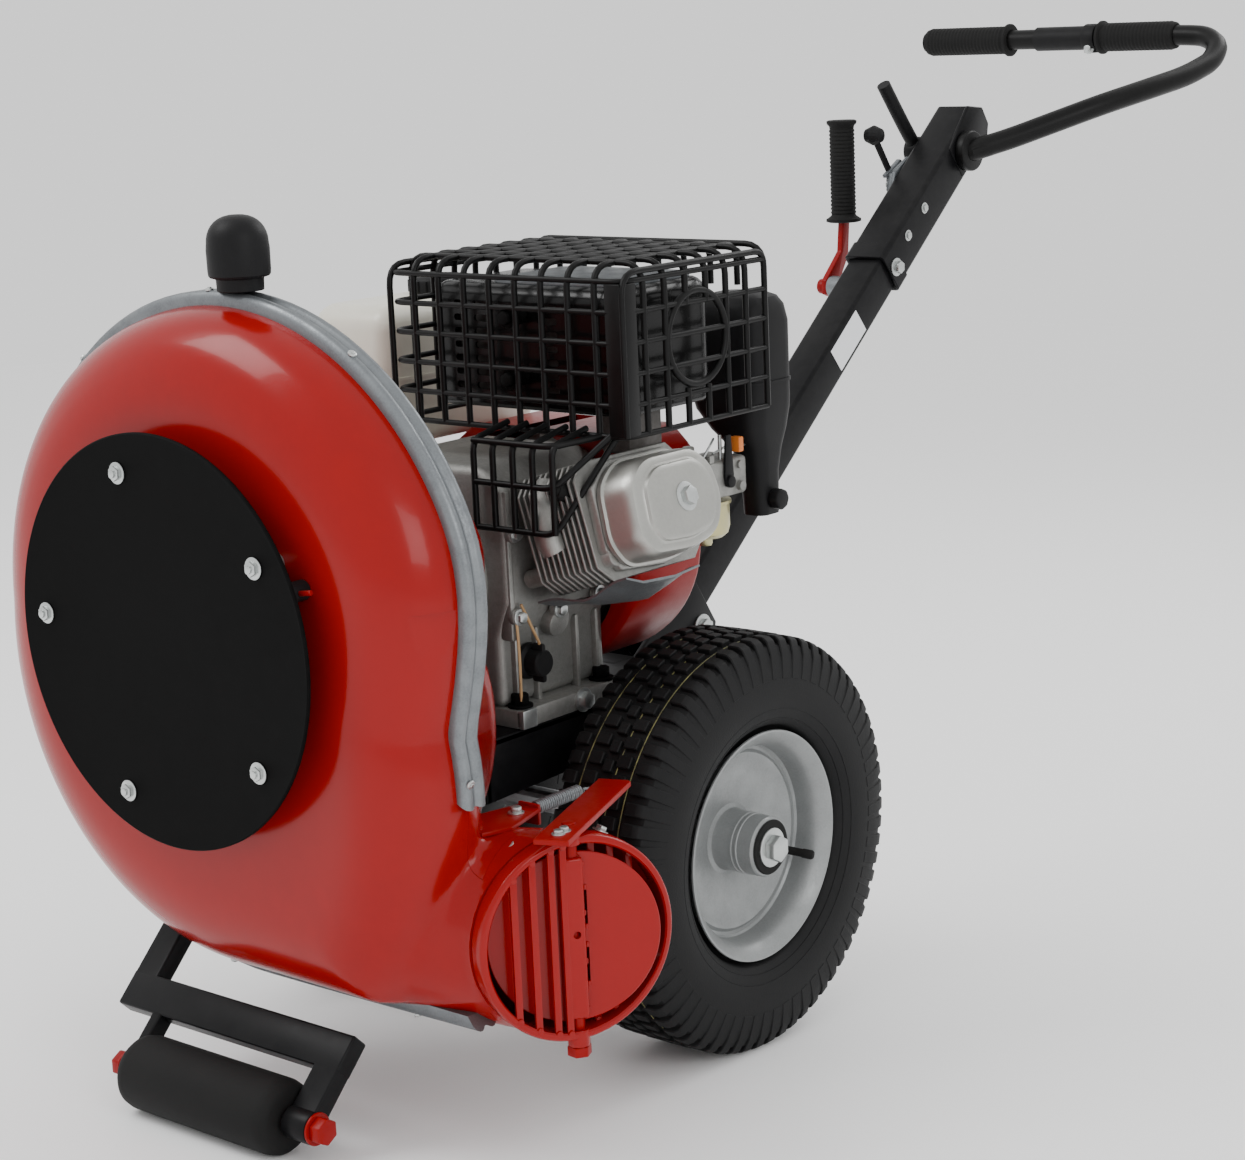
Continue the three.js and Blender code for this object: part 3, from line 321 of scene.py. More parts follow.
def mottle_group():
    """Uneven colour and gloss over a surface, in two sizes."""
    tree, gin, gout = group_tree("mottle", [("Colour", "NodeSocketColor", (0.5, 0.5, 0.5, 1)),
                                            ("Second Colour", "NodeSocketColor", (0.4, 0.4, 0.4, 1)),
                                            ("Scale", "NodeSocketFloat", 12.0),
                                            ("Amount", "NodeSocketFloat", 0.5),
                                            ("Roughness", "NodeSocketFloat", 0.4),
                                            ("Roughness Spread", "NodeSocketFloat", 0.1)],
                                 [("Colour", "NodeSocketColor"), ("Roughness", "NodeSocketFloat")])
    link = tree.links.new
    place = node(tree, "ShaderNodeTexCoord")
    broad = node(tree, "ShaderNodeTexNoise", in_Detail=4.0)
    link(place.outputs["Object"], broad.inputs["Vector"])
    link(gin.outputs["Scale"], broad.inputs["Scale"])
    finer = node(tree, "ShaderNodeMath", operation="MULTIPLY", in_1=9.0)
    link(gin.outputs["Scale"], finer.inputs[0])
    fine = node(tree, "ShaderNodeTexNoise", in_Detail=6.0, in_Roughness=0.7)
    link(place.outputs["Object"], fine.inputs["Vector"])
    link(finer.outputs[0], fine.inputs["Scale"])
    both = node(tree, "ShaderNodeMath", operation="MULTIPLY")
    link(broad.outputs[0], both.inputs[0])
    link(fine.outputs[0], both.inputs[1])
    spread = node(tree, "ShaderNodeMapRange", in_1=0.15, in_2=0.4)
    link(both.outputs[0], spread.inputs[0])
    amount = node(tree, "ShaderNodeMath", operation="MULTIPLY")
    link(spread.outputs[0], amount.inputs[0])
    link(gin.outputs["Amount"], amount.inputs[1])
    mix = node(tree, "ShaderNodeMix", data_type="RGBA")
    link(amount.outputs[0], mix.inputs[0])
    link(gin.outputs["Colour"], mix.inputs[6])
    link(gin.outputs["Second Colour"], mix.inputs[7])
    rough = node(tree, "ShaderNodeMath", operation="MULTIPLY_ADD")
    link(spread.outputs[0], rough.inputs[0])
    link(gin.outputs["Roughness Spread"], rough.inputs[1])
    link(gin.outputs["Roughness"], rough.inputs[2])
    link(mix.outputs[2], gout.inputs["Colour"])
    link(rough.outputs[0], gout.inputs["Roughness"])
    return tree


def grain_group():
    """Height of a fine surface grain: orange peel, casting sand or moulded texture by its scale."""
    tree, gin, gout = group_tree("grain", [("Scale", "NodeSocketFloat", 400.0),
                                           ("Pits", "NodeSocketFloat", 0.3)],
                                 [("Height", "NodeSocketFloat")])
    link = tree.links.new
    place = node(tree, "ShaderNodeTexCoord")
    noise = node(tree, "ShaderNodeTexNoise", in_Detail=3.0)
    link(place.outputs["Object"], noise.inputs["Vector"])
    link(gin.outputs["Scale"], noise.inputs["Scale"])
    cells = node(tree, "ShaderNodeTexVoronoi")
    link(place.outputs["Object"], cells.inputs["Vector"])
    link(gin.outputs["Scale"], cells.inputs["Scale"])
    pits = node(tree, "ShaderNodeMath", operation="MULTIPLY")
    link(cells.outputs["Distance"], pits.inputs[0])
    link(gin.outputs["Pits"], pits.inputs[1])
    total = node(tree, "ShaderNodeMath", operation="ADD")
    link(noise.outputs[0], total.inputs[0])
    link(pits.outputs[0], total.inputs[1])
    link(total.outputs[0], gout.inputs["Height"])
    return tree


def dust_group():
    """Mask of dust and grime that lies on upward faces and in uneven patches."""
    tree, gin, gout = group_tree("dust", [
        ("Amount", "NodeSocketFloat", 0.2), ("Scale", "NodeSocketFloat", 8.0)], [("Mask", "NodeSocketFloat")])
    link = tree.links.new
    place = node(tree, "ShaderNodeTexCoord")
    patches = node(tree, "ShaderNodeTexNoise", in_Detail=7.0, in_Roughness=0.65)
    link(place.outputs["Object"], patches.inputs["Vector"])
    link(gin.outputs["Scale"], patches.inputs["Scale"])
    shape = node(tree, "ShaderNodeNewGeometry")
    split = node(tree, "ShaderNodeSeparateXYZ")
    link(shape.outputs["Normal"], split.inputs[0])
    upward = node(tree, "ShaderNodeMapRange", in_1=-0.2, in_2=1.0)
    link(split.outputs["Z"], upward.inputs[0])
    sharp = node(tree, "ShaderNodeMapRange", in_1=0.42, in_2=0.7)
    link(patches.outputs[0], sharp.inputs[0])
    both = node(tree, "ShaderNodeMath", operation="MULTIPLY")
    link(upward.outputs[0], both.inputs[0])
    link(sharp.outputs[0], both.inputs[1])
    amount = node(tree, "ShaderNodeMath", operation="MULTIPLY", use_clamp=True)
    link(both.outputs[0], amount.inputs[0])
    link(gin.outputs["Amount"], amount.inputs[1])
    link(amount.outputs[0], gout.inputs["Mask"])
    return tree


def wear_group():
    """Mask of paint rubbed thin along sharp edges, broken up by noise."""
    tree, gin, gout = group_tree("edge_wear", [("Amount", "NodeSocketFloat", 0.4),
                                               ("Scale", "NodeSocketFloat", 90.0)],
                                 [("Mask", "NodeSocketFloat")])
    link = tree.links.new
    shape = node(tree, "ShaderNodeNewGeometry")
    edge = node(tree, "ShaderNodeMapRange", in_1=0.54, in_2=0.62)
    link(shape.outputs["Pointiness"], edge.inputs[0])
    place = node(tree, "ShaderNodeTexCoord")
    chips = node(tree, "ShaderNodeTexNoise", in_Detail=5.0, in_Roughness=0.7)
    link(place.outputs["Object"], chips.inputs["Vector"])
    link(gin.outputs["Scale"], chips.inputs["Scale"])
    broken = node(tree, "ShaderNodeMapRange", in_1=0.45, in_2=0.6)
    link(chips.outputs[0], broken.inputs[0])
    both = node(tree, "ShaderNodeMath", operation="MULTIPLY")
    link(edge.outputs[0], both.inputs[0])
    link(broken.outputs[0], both.inputs[1])
    amount = node(tree, "ShaderNodeMath", operation="MULTIPLY", use_clamp=True)
    link(both.outputs[0], amount.inputs[0])
    link(gin.outputs["Amount"], amount.inputs[1])
    link(amount.outputs[0], gout.inputs["Mask"])
    return tree


MOTTLE, GRAIN, DUST, WEAR = mottle_group(), grain_group(), dust_group(), wear_group()


NO_DUST = (0.0, 8.0, (0.25, 0.23, 0.2))
NO_WEAR = (0.0, (0.5, 0.5, 0.5))


def finish(name, colour, second, roughness, metallic=0.0, mottle=(12.0, 0.5, 0.08), grain=(400.0, 0.0, 0.05),
           dust=NO_DUST, wear=NO_WEAR, coat=0.0, specular=0.5, bump_size=0.0004):
    """A layered finish.

    mottle is scale, amount and roughness spread; grain is scale, pits and bump strength;
    dust is amount, scale and colour; wear is amount and colour.
    """
    material = bpy.data.materials.new(name)
    material.use_nodes = True
    tree = material.node_tree
    link = tree.links.new
    shader = tree.nodes["Principled BSDF"]
    shader.inputs["Specular IOR Level"].default_value = specular
    shader.inputs["Coat Weight"].default_value = coat
    shader.inputs["Coat Roughness"].default_value = 0.06
    shader.inputs["Metallic"].default_value = metallic
    base = node(tree, "ShaderNodeGroup", node_tree=MOTTLE)
    base.inputs["Colour"].default_value = (*colour, 1)
    base.inputs["Second Colour"].default_value = (*second, 1)
    base.inputs["Scale"].default_value = mottle[0]
    base.inputs["Amount"].default_value = mottle[1]
    base.inputs["Roughness"].default_value = roughness
    base.inputs["Roughness Spread"].default_value = mottle[2]
    worn = node(tree, "ShaderNodeGroup", node_tree=WEAR)
    worn.inputs["Amount"].default_value = wear[0]
    bare = node(tree, "ShaderNodeMix", data_type="RGBA")
    bare.inputs[7].default_value = (*wear[1], 1)
    link(worn.outputs["Mask"], bare.inputs[0])
    link(base.outputs["Colour"], bare.inputs[6])
    dirt = node(tree, "ShaderNodeGroup", node_tree=DUST)
    dirt.inputs["Amount"].default_value = dust[0]
    dirt.inputs["Scale"].default_value = dust[1]
    dusty = node(tree, "ShaderNodeMix", data_type="RGBA")
    dusty.inputs[7].default_value = (*dust[2], 1)
    link(dirt.outputs["Mask"], dusty.inputs[0])
    link(bare.outputs[2], dusty.inputs[6])
    link(dusty.outputs[2], shader.inputs["Base Color"])
    dull = node(tree, "ShaderNodeMix", data_type="FLOAT")
    dull.inputs[3].default_value = 0.85
    link(dirt.outputs["Mask"], dull.inputs[0])
    link(base.outputs["Roughness"], dull.inputs[2])
    link(dull.outputs[0], shader.inputs["Roughness"])
    surface = node(tree, "ShaderNodeGroup", node_tree=GRAIN)
    surface.inputs["Scale"].default_value = grain[0]
    surface.inputs["Pits"].default_value = grain[1]
    bump = node(tree, "ShaderNodeBump")
    bump.inputs["Strength"].default_value = grain[2]
    bump.inputs["Distance"].default_value = bump_size
    link(surface.outputs["Height"], bump.inputs["Height"])
    link(bump.outputs["Normal"], shader.inputs["Normal"])
    return material


RED = finish("gloss_red_paint", (0.27, 0.0004, 0.0003), (0.23, 0.0004, 0.0003), 0.2, 0.0,
             (5.0, 0.5, 0.06), (260.0, 0.0, 0.12), (0.03, 9.0, (0.2, 0.03, 0.02)),
             (0.2, (0.2, 0.002, 0.002)), coat=0.15, specular=0.2)
RED_FLAT = finish("plain_red_paint", (0.26, 0.0005, 0.0004), (0.22, 0.0005, 0.0004), 0.32, 0.0,
                  (14.0, 0.6, 0.1), (300.0, 0.1, 0.15), (0.05, 12.0, (0.2, 0.03, 0.02)),
                  (0.3, (0.17, 0.003, 0.003)), coat=0.04, specular=0.15)
BLACK = finish("satin_black_paint", (0.004, 0.004, 0.0045), (0.007, 0.007, 0.008), 0.3, 0.0,
               (10.0, 0.5, 0.08), (350.0, 0.1, 0.1), (0.05, 10.0, (0.12, 0.115, 0.105)),
               (0.15, (0.03, 0.03, 0.03)), specular=0.12)
DISC_BLACK = finish("matt_black_disc_paint", (0.002, 0.002, 0.002), (0.004, 0.004, 0.004), 0.6, 0.0,
                    (6.0, 0.5, 0.1), (500.0, 0.2, 0.12), (0.02, 9.0, (0.06, 0.06, 0.06)),
                    (0.1, (0.04, 0.04, 0.04)), specular=0.06)
GUARD_BLACK = finish("guard_black_coating", (0.004, 0.004, 0.004), (0.008, 0.008, 0.008), 0.34, 0.0,
                     (18.0, 0.5, 0.12), (420.0, 0.1, 0.1), (0.04, 14.0, (0.05, 0.048, 0.045)),
                     specular=0.15)
PLASTIC = finish("moulded_black_plastic", (0.006, 0.006, 0.0065), (0.01, 0.01, 0.0105), 0.44, 0.0,
                 (9.0, 0.5, 0.1), (900.0, 0.6, 0.25), (0.04, 11.0, (0.05, 0.048, 0.045)),
                 (0.1, (0.03, 0.03, 0.03)), specular=0.15)
RUBBER = finish("black_rubber", (0.008, 0.008, 0.008), (0.013, 0.013, 0.0125), 0.66, 0.0,
                (16.0, 0.6, 0.1), (700.0, 0.5, 0.3), (0.05, 14.0, (0.06, 0.055, 0.05)), specular=0.15)
TYRE = finish("tyre_rubber", (0.007, 0.0072, 0.0075), (0.014, 0.014, 0.0145), 0.56, 0.0,
              (20.0, 0.7, 0.12), (600.0, 0.6, 0.35), (0.08, 16.0, (0.06, 0.055, 0.05)), specular=0.15)
ZINC = finish("bright_zinc", (0.55, 0.57, 0.56), (0.42, 0.44, 0.44), 0.28, 0.9, (40.0, 0.6, 0.14),
              (500.0, 0.3, 0.1), (0.1, 20.0, (0.25, 0.24, 0.22)))
GALVANISED = finish("galvanised_steel", (0.2, 0.215, 0.225), (0.13, 0.14, 0.15), 0.36, 0.75,
                    (60.0, 0.7, 0.2), (240.0, 0.6, 0.2), (0.08, 20.0, (0.25, 0.24, 0.22)))
CAST = finish("cast_aluminium", (0.3, 0.3, 0.285), (0.2, 0.2, 0.19), 0.44, 0.75, (18.0, 0.7, 0.16),
              (800.0, 0.8, 0.4), (0.25, 16.0, (0.22, 0.2, 0.17)))
SILVER = finish("silver_wheel_paint", (0.27, 0.28, 0.28), (0.2, 0.21, 0.21), 0.34, 0.4, (50.0, 0.6, 0.16),
                (330.0, 0.3, 0.25), (0.1, 12.0, (0.25, 0.24, 0.22)), (0.3, (0.2, 0.2, 0.2)))
STEEL = finish("turned_steel", (0.4, 0.4, 0.41), (0.3, 0.3, 0.3), 0.34, 0.9, (30.0, 0.5, 0.12),
               (600.0, 0.2, 0.1))
CREAM = finish("cream_tank_plastic", (0.72, 0.7, 0.6), (0.64, 0.62, 0.52), 0.34, 0.0, (6.0, 0.5, 0.08),
               (500.0, 0.1, 0.08), (0.1, 9.0, (0.4, 0.38, 0.3)), coat=0.15)
BRASS = finish("yellow_zinc", (0.5, 0.46, 0.24), (0.42, 0.4, 0.26), 0.34, 0.8, (40.0, 0.7, 0.12),
               (500.0, 0.3, 0.1))
LABEL = finish("plain_white_label", (0.75, 0.76, 0.78), (0.68, 0.7, 0.72), 0.35, 0.0, (20.0, 0.3, 0.05))
GREEN = finish("green_scale_label", (0.2, 0.42, 0.22), (0.3, 0.5, 0.3), 0.4, 0.0, (30.0, 0.5, 0.05))
TAN = finish("tan_wire_sleeve", (0.42, 0.26, 0.12), (0.32, 0.2, 0.1), 0.55, 0.0, (60.0, 0.6, 0.1))


# ---- fan housing -----------------------------------------------------------------------------------------
def scroll_radius(degrees):
    """Round over the top, growing under the bottom, flat into the outlet and tucked in above it."""
    degrees %= 360
    tucked = SCROLL_R - SCROLL_TUCK
    if 180 <= degrees < 270:
        return SCROLL_R - (SCROLL_BOTTOM - SCROLL_R) * math.sin(math.radians(degrees))
    if 270 <= degrees < 345:
        flat = SCROLL_BOTTOM / math.sin(math.radians(360 - degrees))
        closing = SCROLL_BOTTOM * 1.16 + (tucked - SCROLL_BOTTOM * 1.16) * max(0.0, (degrees - 300) / 45)
        return min(flat, closing)
    above = degrees - 360 if degrees > 180 else degrees
    share = min(1.0, max(0.0, (25 - above) / 40))
    return SCROLL_R - SCROLL_TUCK * (1 - math.cos(math.pi * share)) / 2


def scroll_ring(y, inset, count=96):
    ring = []
    for i in range(count):
        degrees = 360 * i / count
        radius = scroll_radius(degrees) - inset
        angle = math.radians(degrees)
        ring.append((radius * math.cos(angle), y, FAN_Z + radius * math.sin(angle)))
    return ring


def scroll_body(shrink):
    """Front shoulder as a soft quarter round, back as a shallow cone."""
    stations = []
    depth, drop = SEAM_Y - HOUSING_FRONT_Y, 88
    for i in range(15, -1, -1):
        share = math.sin(math.pi / 2 * i / 15)
        inset = drop * (1 - (1 - share ** 2.4) ** (1 / 2.4))
        stations.append((SEAM_Y - depth * share + shrink * share, inset + shrink))
    for y, inset in [(-396, 4), (-345, 54), (-262, 130), (HOUSING_BACK_Y - shrink, 140)]:
        stations.append((y, inset + shrink))
    return loft([scroll_ring(y, inset) for y, inset in stations])


def duct_body(shrink, reach):
    stops = [(60, -402, 34, 84, 70, 0.0), (190, -380, 30, 88, 82, DUCT_TURN / 2),
             (*DUCT, DUCT_R, DUCT_R, DUCT_TURN)]
    if reach:
        end = (DUCT[0] + reach * math.cos(DUCT_TURN), DUCT[1] + reach * math.sin(DUCT_TURN), DUCT[2])
        stops.append((*end, DUCT_R, DUCT_R, DUCT_TURN))
    rings = []
    for x, y, z, deep, high, turn in stops:
        ring = []
        for i in range(64):
            angle = 2 * math.pi * i / 64
            across = (deep - shrink) * math.cos(angle)
            ring.append((x - across * math.sin(turn), y + across * math.cos(turn),
                         z + (high - shrink) * math.sin(angle)))
        rings.append(ring)
    return loft(rings)


def softened(obj, voxel, passes):
    """Melts the joins of a body into soft pressed-steel blends."""
    only(obj)
    remesh = obj.modifiers.new("even skin", "REMESH")
    remesh.mode = "VOXEL"
    remesh.voxel_size = voxel
    bpy.ops.object.modifier_apply(modifier=remesh.name)
    relax = obj.modifiers.new("soft blends", "SMOOTH")
    relax.factor = 0.5
    relax.iterations = passes
    bpy.ops.object.modifier_apply(modifier=relax.name)
    return obj


def copied(obj):
    only(obj)
    bpy.ops.object.duplicate()
    return bpy.context.object


FAR = 900


def fan_housing():
    outer = carve(scroll_body(0), duct_body(0, 24), mode="UNION")
    softened(outer, 5.0, 10)
    hollow = carve(scroll_body(SHEET + 1), duct_body(SHEET + 1, 60), mode="UNION")
    carve(outer, hollow)
    carve(outer, outlet_face())
    carve(outer, rod((0, HOUSING_FRONT_Y - 20, FAN_Z), (0, HOUSING_FRONT_Y + 24, FAN_Z), 138, 96))
    carve(outer, rod((0, HOUSING_BACK_Y - 24, FAN_Z), (0, HOUSING_BACK_Y + 20, FAN_Z), 34, 48))
    back = copied(outer)
    carve(outer, block(-FAR, TRIM_END_X + 0.3, SEAM_Y - 0.3, FAR, -FAR, FAR))
    carve(back, block(-FAR, TRIM_END_X, SEAM_Y, FAR, -FAR, FAR), mode="INTERSECT")
    piece(outer, "housing_front_shell", "frame", RED, ["fan_housing_front"], 40)
    piece(back, "housing_back_shell", "frame", RED, ["fan_housing_back"], 40)


def outlet_face():
    """Everything beyond the plane of the outlet."""
    beyond = block(0, 200, -300, 300, -300, 300)
    beyond.matrix_world = Matrix.Translation(Vector(DUCT)) @ Matrix.Rotation(DUCT_TURN, 4, "Z")
    only(beyond)
    bpy.ops.object.transform_apply(location=True, rotation=True, scale=True)
    return beyond


def rim_trim():
    """Rolled zinc channel with two ridges, straddling the seam from the outlet round to the bottom."""
    section = [(-5, -13), (5, -13.4), (9.5, -12), (11.6, -9), (11.8, -6), (10.4, -3.4), (8.6, -1.6),
               (8.2, 0), (8.6, 1.6), (10.4, 3.4), (11.8, 6), (11.6, 9), (9.5, 12), (5, 13.4), (-5, 13)]
    rings = []
    steps = 96
    for i in range(steps + 1):
        degrees = -26 + (309 + 26) * i / steps
        angle = math.radians(degrees)
        flat = SCROLL_BOTTOM / abs(math.sin(angle)) if abs(math.sin(angle)) > 0.1 else SCROLL_R
        outline = flat if degrees > 270 else scroll_radius(degrees)
        rings.append([((outline + r) * math.cos(angle), SEAM_Y + y, FAN_Z + (outline + r) * math.sin(angle))
                      for r, y in section])
    trim = loft(rings)
    piece(trim, "rim_trim_channel", "frame", GALVANISED, ["housing_rim_trim"], 50)
    heads = []
    for degrees, y in [(-22, -7), (57, -7), (92, -7), (130, -7), (170, -7), (215, -7), (262, -7), (300, -7)]:
        angle = math.radians(degrees)
        flat = SCROLL_BOTTOM / abs(math.sin(angle))
        outline = flat if degrees > 270 else scroll_radius(degrees)
        out = Vector((math.cos(angle), 0, math.sin(angle)))
        at = Vector((0, SEAM_Y + y, FAN_Z)) + out * (outline + 11)
        head = rod(at, at + out * 2.6, 4.2, 20, 1.0)
        pin = rod(at + out * 2.2, at + out * 3.6, 2.0, 12, 0.3)
        heads += [head, pin]
    piece(joined(heads), "trim_rivets", "frame", ZINC, angle=40)


COVER_BOLTS = 5


def cover_bolt_places():
    for i in range(COVER_BOLTS):
        angle = math.radians(104 - 360 / COVER_BOLTS * i)
        yield i + 1, COVER_BOLT_R * math.cos(angle), FAN_Z + COVER_BOLT_R * math.sin(angle)


def intake_cover():
    y = COVER_Y
    profile = [(0, y - 1.6), (COVER_R - 4, y - 1.6), (COVER_R - 1.2, y - 2), (COVER_R, y - 1),
               (COVER_R, y + 1.4), (COVER_R - 1, y + 2), (0, y + 2)]
    plate_ = spun_open(profile, at=(0, 0, FAN_Z), steps=128)
    piece(plate_, "intake_cover_disc", "frame", DISC_BLACK, ["intake_cover"], 40)
    for number, x, z in cover_bolt_places():
        front, rear = y - 2, y + 2
        parts = hex_bolt((x, front - 0.1, z), (0, -1, 0), 12, 5)
        parts.append(rod((x, front - 7.2, z), (x, front - 4.5, z), 3.6, 20, 0.5))
        parts.append(spun([(4.4, rear + 0.3), (8, rear + 0.3), (8, HOUSING_FRONT_Y - 0.3),
                           (4.4, HOUSING_FRONT_Y - 0.3)], at=(x, 0, z), steps=24))
        piece(joined(parts), f"cover_bolt_{number}", "frame", ZINC, [f"intake_bolt_{number}"], 40)
    angle = math.radians(20)
    x, z = 178 * math.cos(angle), FAN_Z + 178 * math.sin(angle)
    spacer = rod((x - 8, y + 2.2, z), (x - 8, HOUSING_FRONT_Y - 0.5, z), 9, 24, 1.0)
    piece(spacer, "cover_spacer", "frame", PLASTIC)
    stud = rod((x, y + 13, z), (x + 14, y + 13, z + 2), 2.4, 12, 0.4)
    piece(stud, "cover_latch_stud", "frame", RED_FLAT)


def spun_open(profile, axis="y", at=(0, 0, 0), steps=64):
    """A profile that starts and ends on the axis, spun into a closed body."""
    centre = Vector(at)
    fresh()
    bpy.ops.mesh.primitive_circle_add(vertices=max(3, len(profile)), radius=1)
    obj = bpy.context.object
    edit_all(obj)
    bpy.ops.mesh.select_mode(type="EDGE")
    bm = bmesh.from_edit_mesh(obj.data)
    bm.verts.ensure_lookup_table()
    for vertex, (r, s) in zip(list(bm.verts), profile):
        vertex.co = centre + OUT[axis] * r + AXIS[axis] * s
    first, last = bm.verts[0], bm.verts[len(profile) - 1]
    for edge in list(bm.edges):
        if first in edge.verts and last in edge.verts:
            bm.edges.remove(edge)
    for vertex in bm.verts:
        vertex.select = True
    for edge in bm.edges:
        edge.select = True
    bmesh.update_edit_mesh(obj.data)
    bpy.ops.mesh.spin(steps=steps, angle=2 * math.pi, center=centre, axis=AXIS[axis])
    tidy_mesh(obj, 0.005)
    return obj


def lifting_knob():
    x, foot = 22, FAN_Z + math.sqrt((SCROLL_R + 12) ** 2 - 22 ** 2) + 0.3
    profile = [(0, 0), (20, 0), (20.6, 0.6), (21, 10), (21.4, 11), (26, 12.4), (27.2, 14), (27.6, 18),
               (27.8, 36), (27.2, 42)]
    for i in range(1, 10):
        angle = math.pi / 2 * i / 9
        profile.append((27.2 * math.cos(angle) ** 0.8 if i < 9 else 0, 42 + 24 * math.sin(angle)))
    knob = spun_open(profile, "z", (x, SEAM_Y, foot), 72)
    piece(knob, "lifting_knob_dome", "frame", PLASTIC, ["lifting_knob"], 30)


def housing_bolts():
    """Bolts through the duct wall just inside the outlet."""
    heads = []
    turn = Matrix.Rotation(DUCT_TURN, 3, "Z")
    for degrees in (118, 242, 62):
        angle = math.radians(degrees)
        out = turn @ Vector((0, math.cos(angle), math.sin(angle)))
        at = Vector(DUCT) + turn @ Vector((-16, 0, 0)) + out * (DUCT_R - 1.5)
        heads += hex_bolt(at, out, 9, 5)
    piece(joined(heads), "duct_bolts", "frame", ZINC, angle=40)


# ---- outlet ----------------------------------------------------------------------------------------------
RING_DEEP = 20
FRONT_BARS = (-58, -40, -22)


def in_outlet():
    return MACHINE @ OUTLET


def in_flap():
    return MACHINE @ OUTLET @ Matrix.Translation((HINGE_X * MM, 0, 0)) @ Matrix.Rotation(FLAP_AJAR, 4, "Z")


def outlet_grille():
    outer, inner = DUCT_R + 0.4, DUCT_R - 7
    profile = [(inner, 0.4), (outer - 3, 0.4), (outer, 2.5), (outer, RING_DEEP - 3),
               (outer - 1.2, RING_DEEP - 1), (outer - 3, RING_DEEP), (inner + 1.4, RING_DEEP),
               (inner, RING_DEEP - 1.4)]
    parts = [spun(profile, "x", steps=112)]
    places = [(HINGE_X + 6, y) for y in FRONT_BARS] + [(HINGE_X - 6, -y) for y in FRONT_BARS]
    for x, y in places + [(HINGE_X + 6, -10.5)]:
        half = math.sqrt((DUCT_R - 4) ** 2 - y ** 2)
        parts.append(block(x - 2, x + 2, y - 3.4, y + 3.4, -half, half, 1.2))
        for end in (-1, 1):
            dab = rod((x - 4, y, end * (half - 2.5)), (x + 3.5, y, end * (half - 2.5)), 3.4, 12, 1.4)
            parts.append(dab)
    for low, high in ((-DUCT_R - 7, -DUCT_R + 8), (DUCT_R - 8, DUCT_R + 4)):
        parts.append(spun([(6.4, low), (9.6, low), (10, low + 0.8), (10, high - 0.8), (9.6, high),
                           (6.4, high)], "z", (HINGE_X, 0, 0), 32))
    piece(joined(parts), "outlet_ring_and_bars", "frame", RED, ["outlet_grille"], 40, in_outlet())


def outlet_flap():
    """Round butterfly plate with a pressed hinge channel, stitched by short welds."""
    profile = [(0, -1.4), (FLAP_R - 0.8, -1.4), (FLAP_R, -0.7), (FLAP_R, 0.7), (FLAP_R - 0.8, 1.4), (0, 1.4)]
    disc = spun_open(profile, "x", steps=112)
    for low, high in ((10, 42), (-42, -10)):
        carve(disc, block(-6, 6, 9.5, 12.5, low, high, 1.2))
    half = FLAP_R - 4
    channel = block(-2.2, 9.5, -9, 9, -half, half, 3.0, 4)
    carve(channel, rod((0, 0, -FAR), (0, 0, FAR), 6.3, 32), rod((4, 1, 4), (14, 1, 4), 3.4, 20))
    parts = [disc, channel]
    for z in (-44, -8, 8, 44):
        parts.append(rod((0.8, 10.8, z - 2.6), (0.8, 10.8, z + 2.6), 2.2, 12, 1.0))
    for z in (-66, -22, 22, 66):
        parts.append(rod((4.5, 9.2, z - 2.5), (4.5, 9.2, z + 2.5), 1.5, 12, 0.7))
    piece(joined(parts), "flap_plate_with_channel", "flap", RED, ["outlet_flap"], 40, in_flap())
    rod_low, rod_high = -DUCT_R - 18, DUCT_R + 11
    pin = rod((0, 0, rod_low), (0, 0, rod_high), 6, 32, 0.8)
    nut = rounded(rod((0, 0, -DUCT_R - 16.5), (0, 0, -DUCT_R - 7.5), 11, 6), 1.0, 2, 40)
    piece(joined([pin, nut]), "flap_hinge_rod", "flap", RED_FLAT, ["flap_rod"], 40, in_flap())


ARM_Z = DUCT_R + 5
ARM_AIM = math.radians(-68) - DUCT_TURN - FLAP_AJAR


def flap_arm():
    turn = Matrix.Rotation(ARM_AIM, 4, "Z")
    outline = [(47, -16), (47, 16), (-127, 16), (-131, 12), (-131, -16)]
    bar_ = plate(outline, "z", ARM_Z, ARM_Z + 5, 0.9, 3)
    carve(bar_, rod((0, 0, 0), (0, 0, FAR), 6.4, 32))
    piece(bar_, "flap_arm_plate", "flap", RED_FLAT, ["flap_arm"], 40, in_flap() @ turn)
    parts = []
    for x, y in ((30, 1), (21, 3)):
        parts += hex_bolt((x, y, ARM_Z + 4.9), (0, 0, 1), 7.5, 4)
    piece(joined(parts), "flap_arm_screws", "flap", ZINC, (), 40, in_flap() @ turn)


BRACKET_TOP = 119
SPRING = (234, BRACKET_TOP - 4)


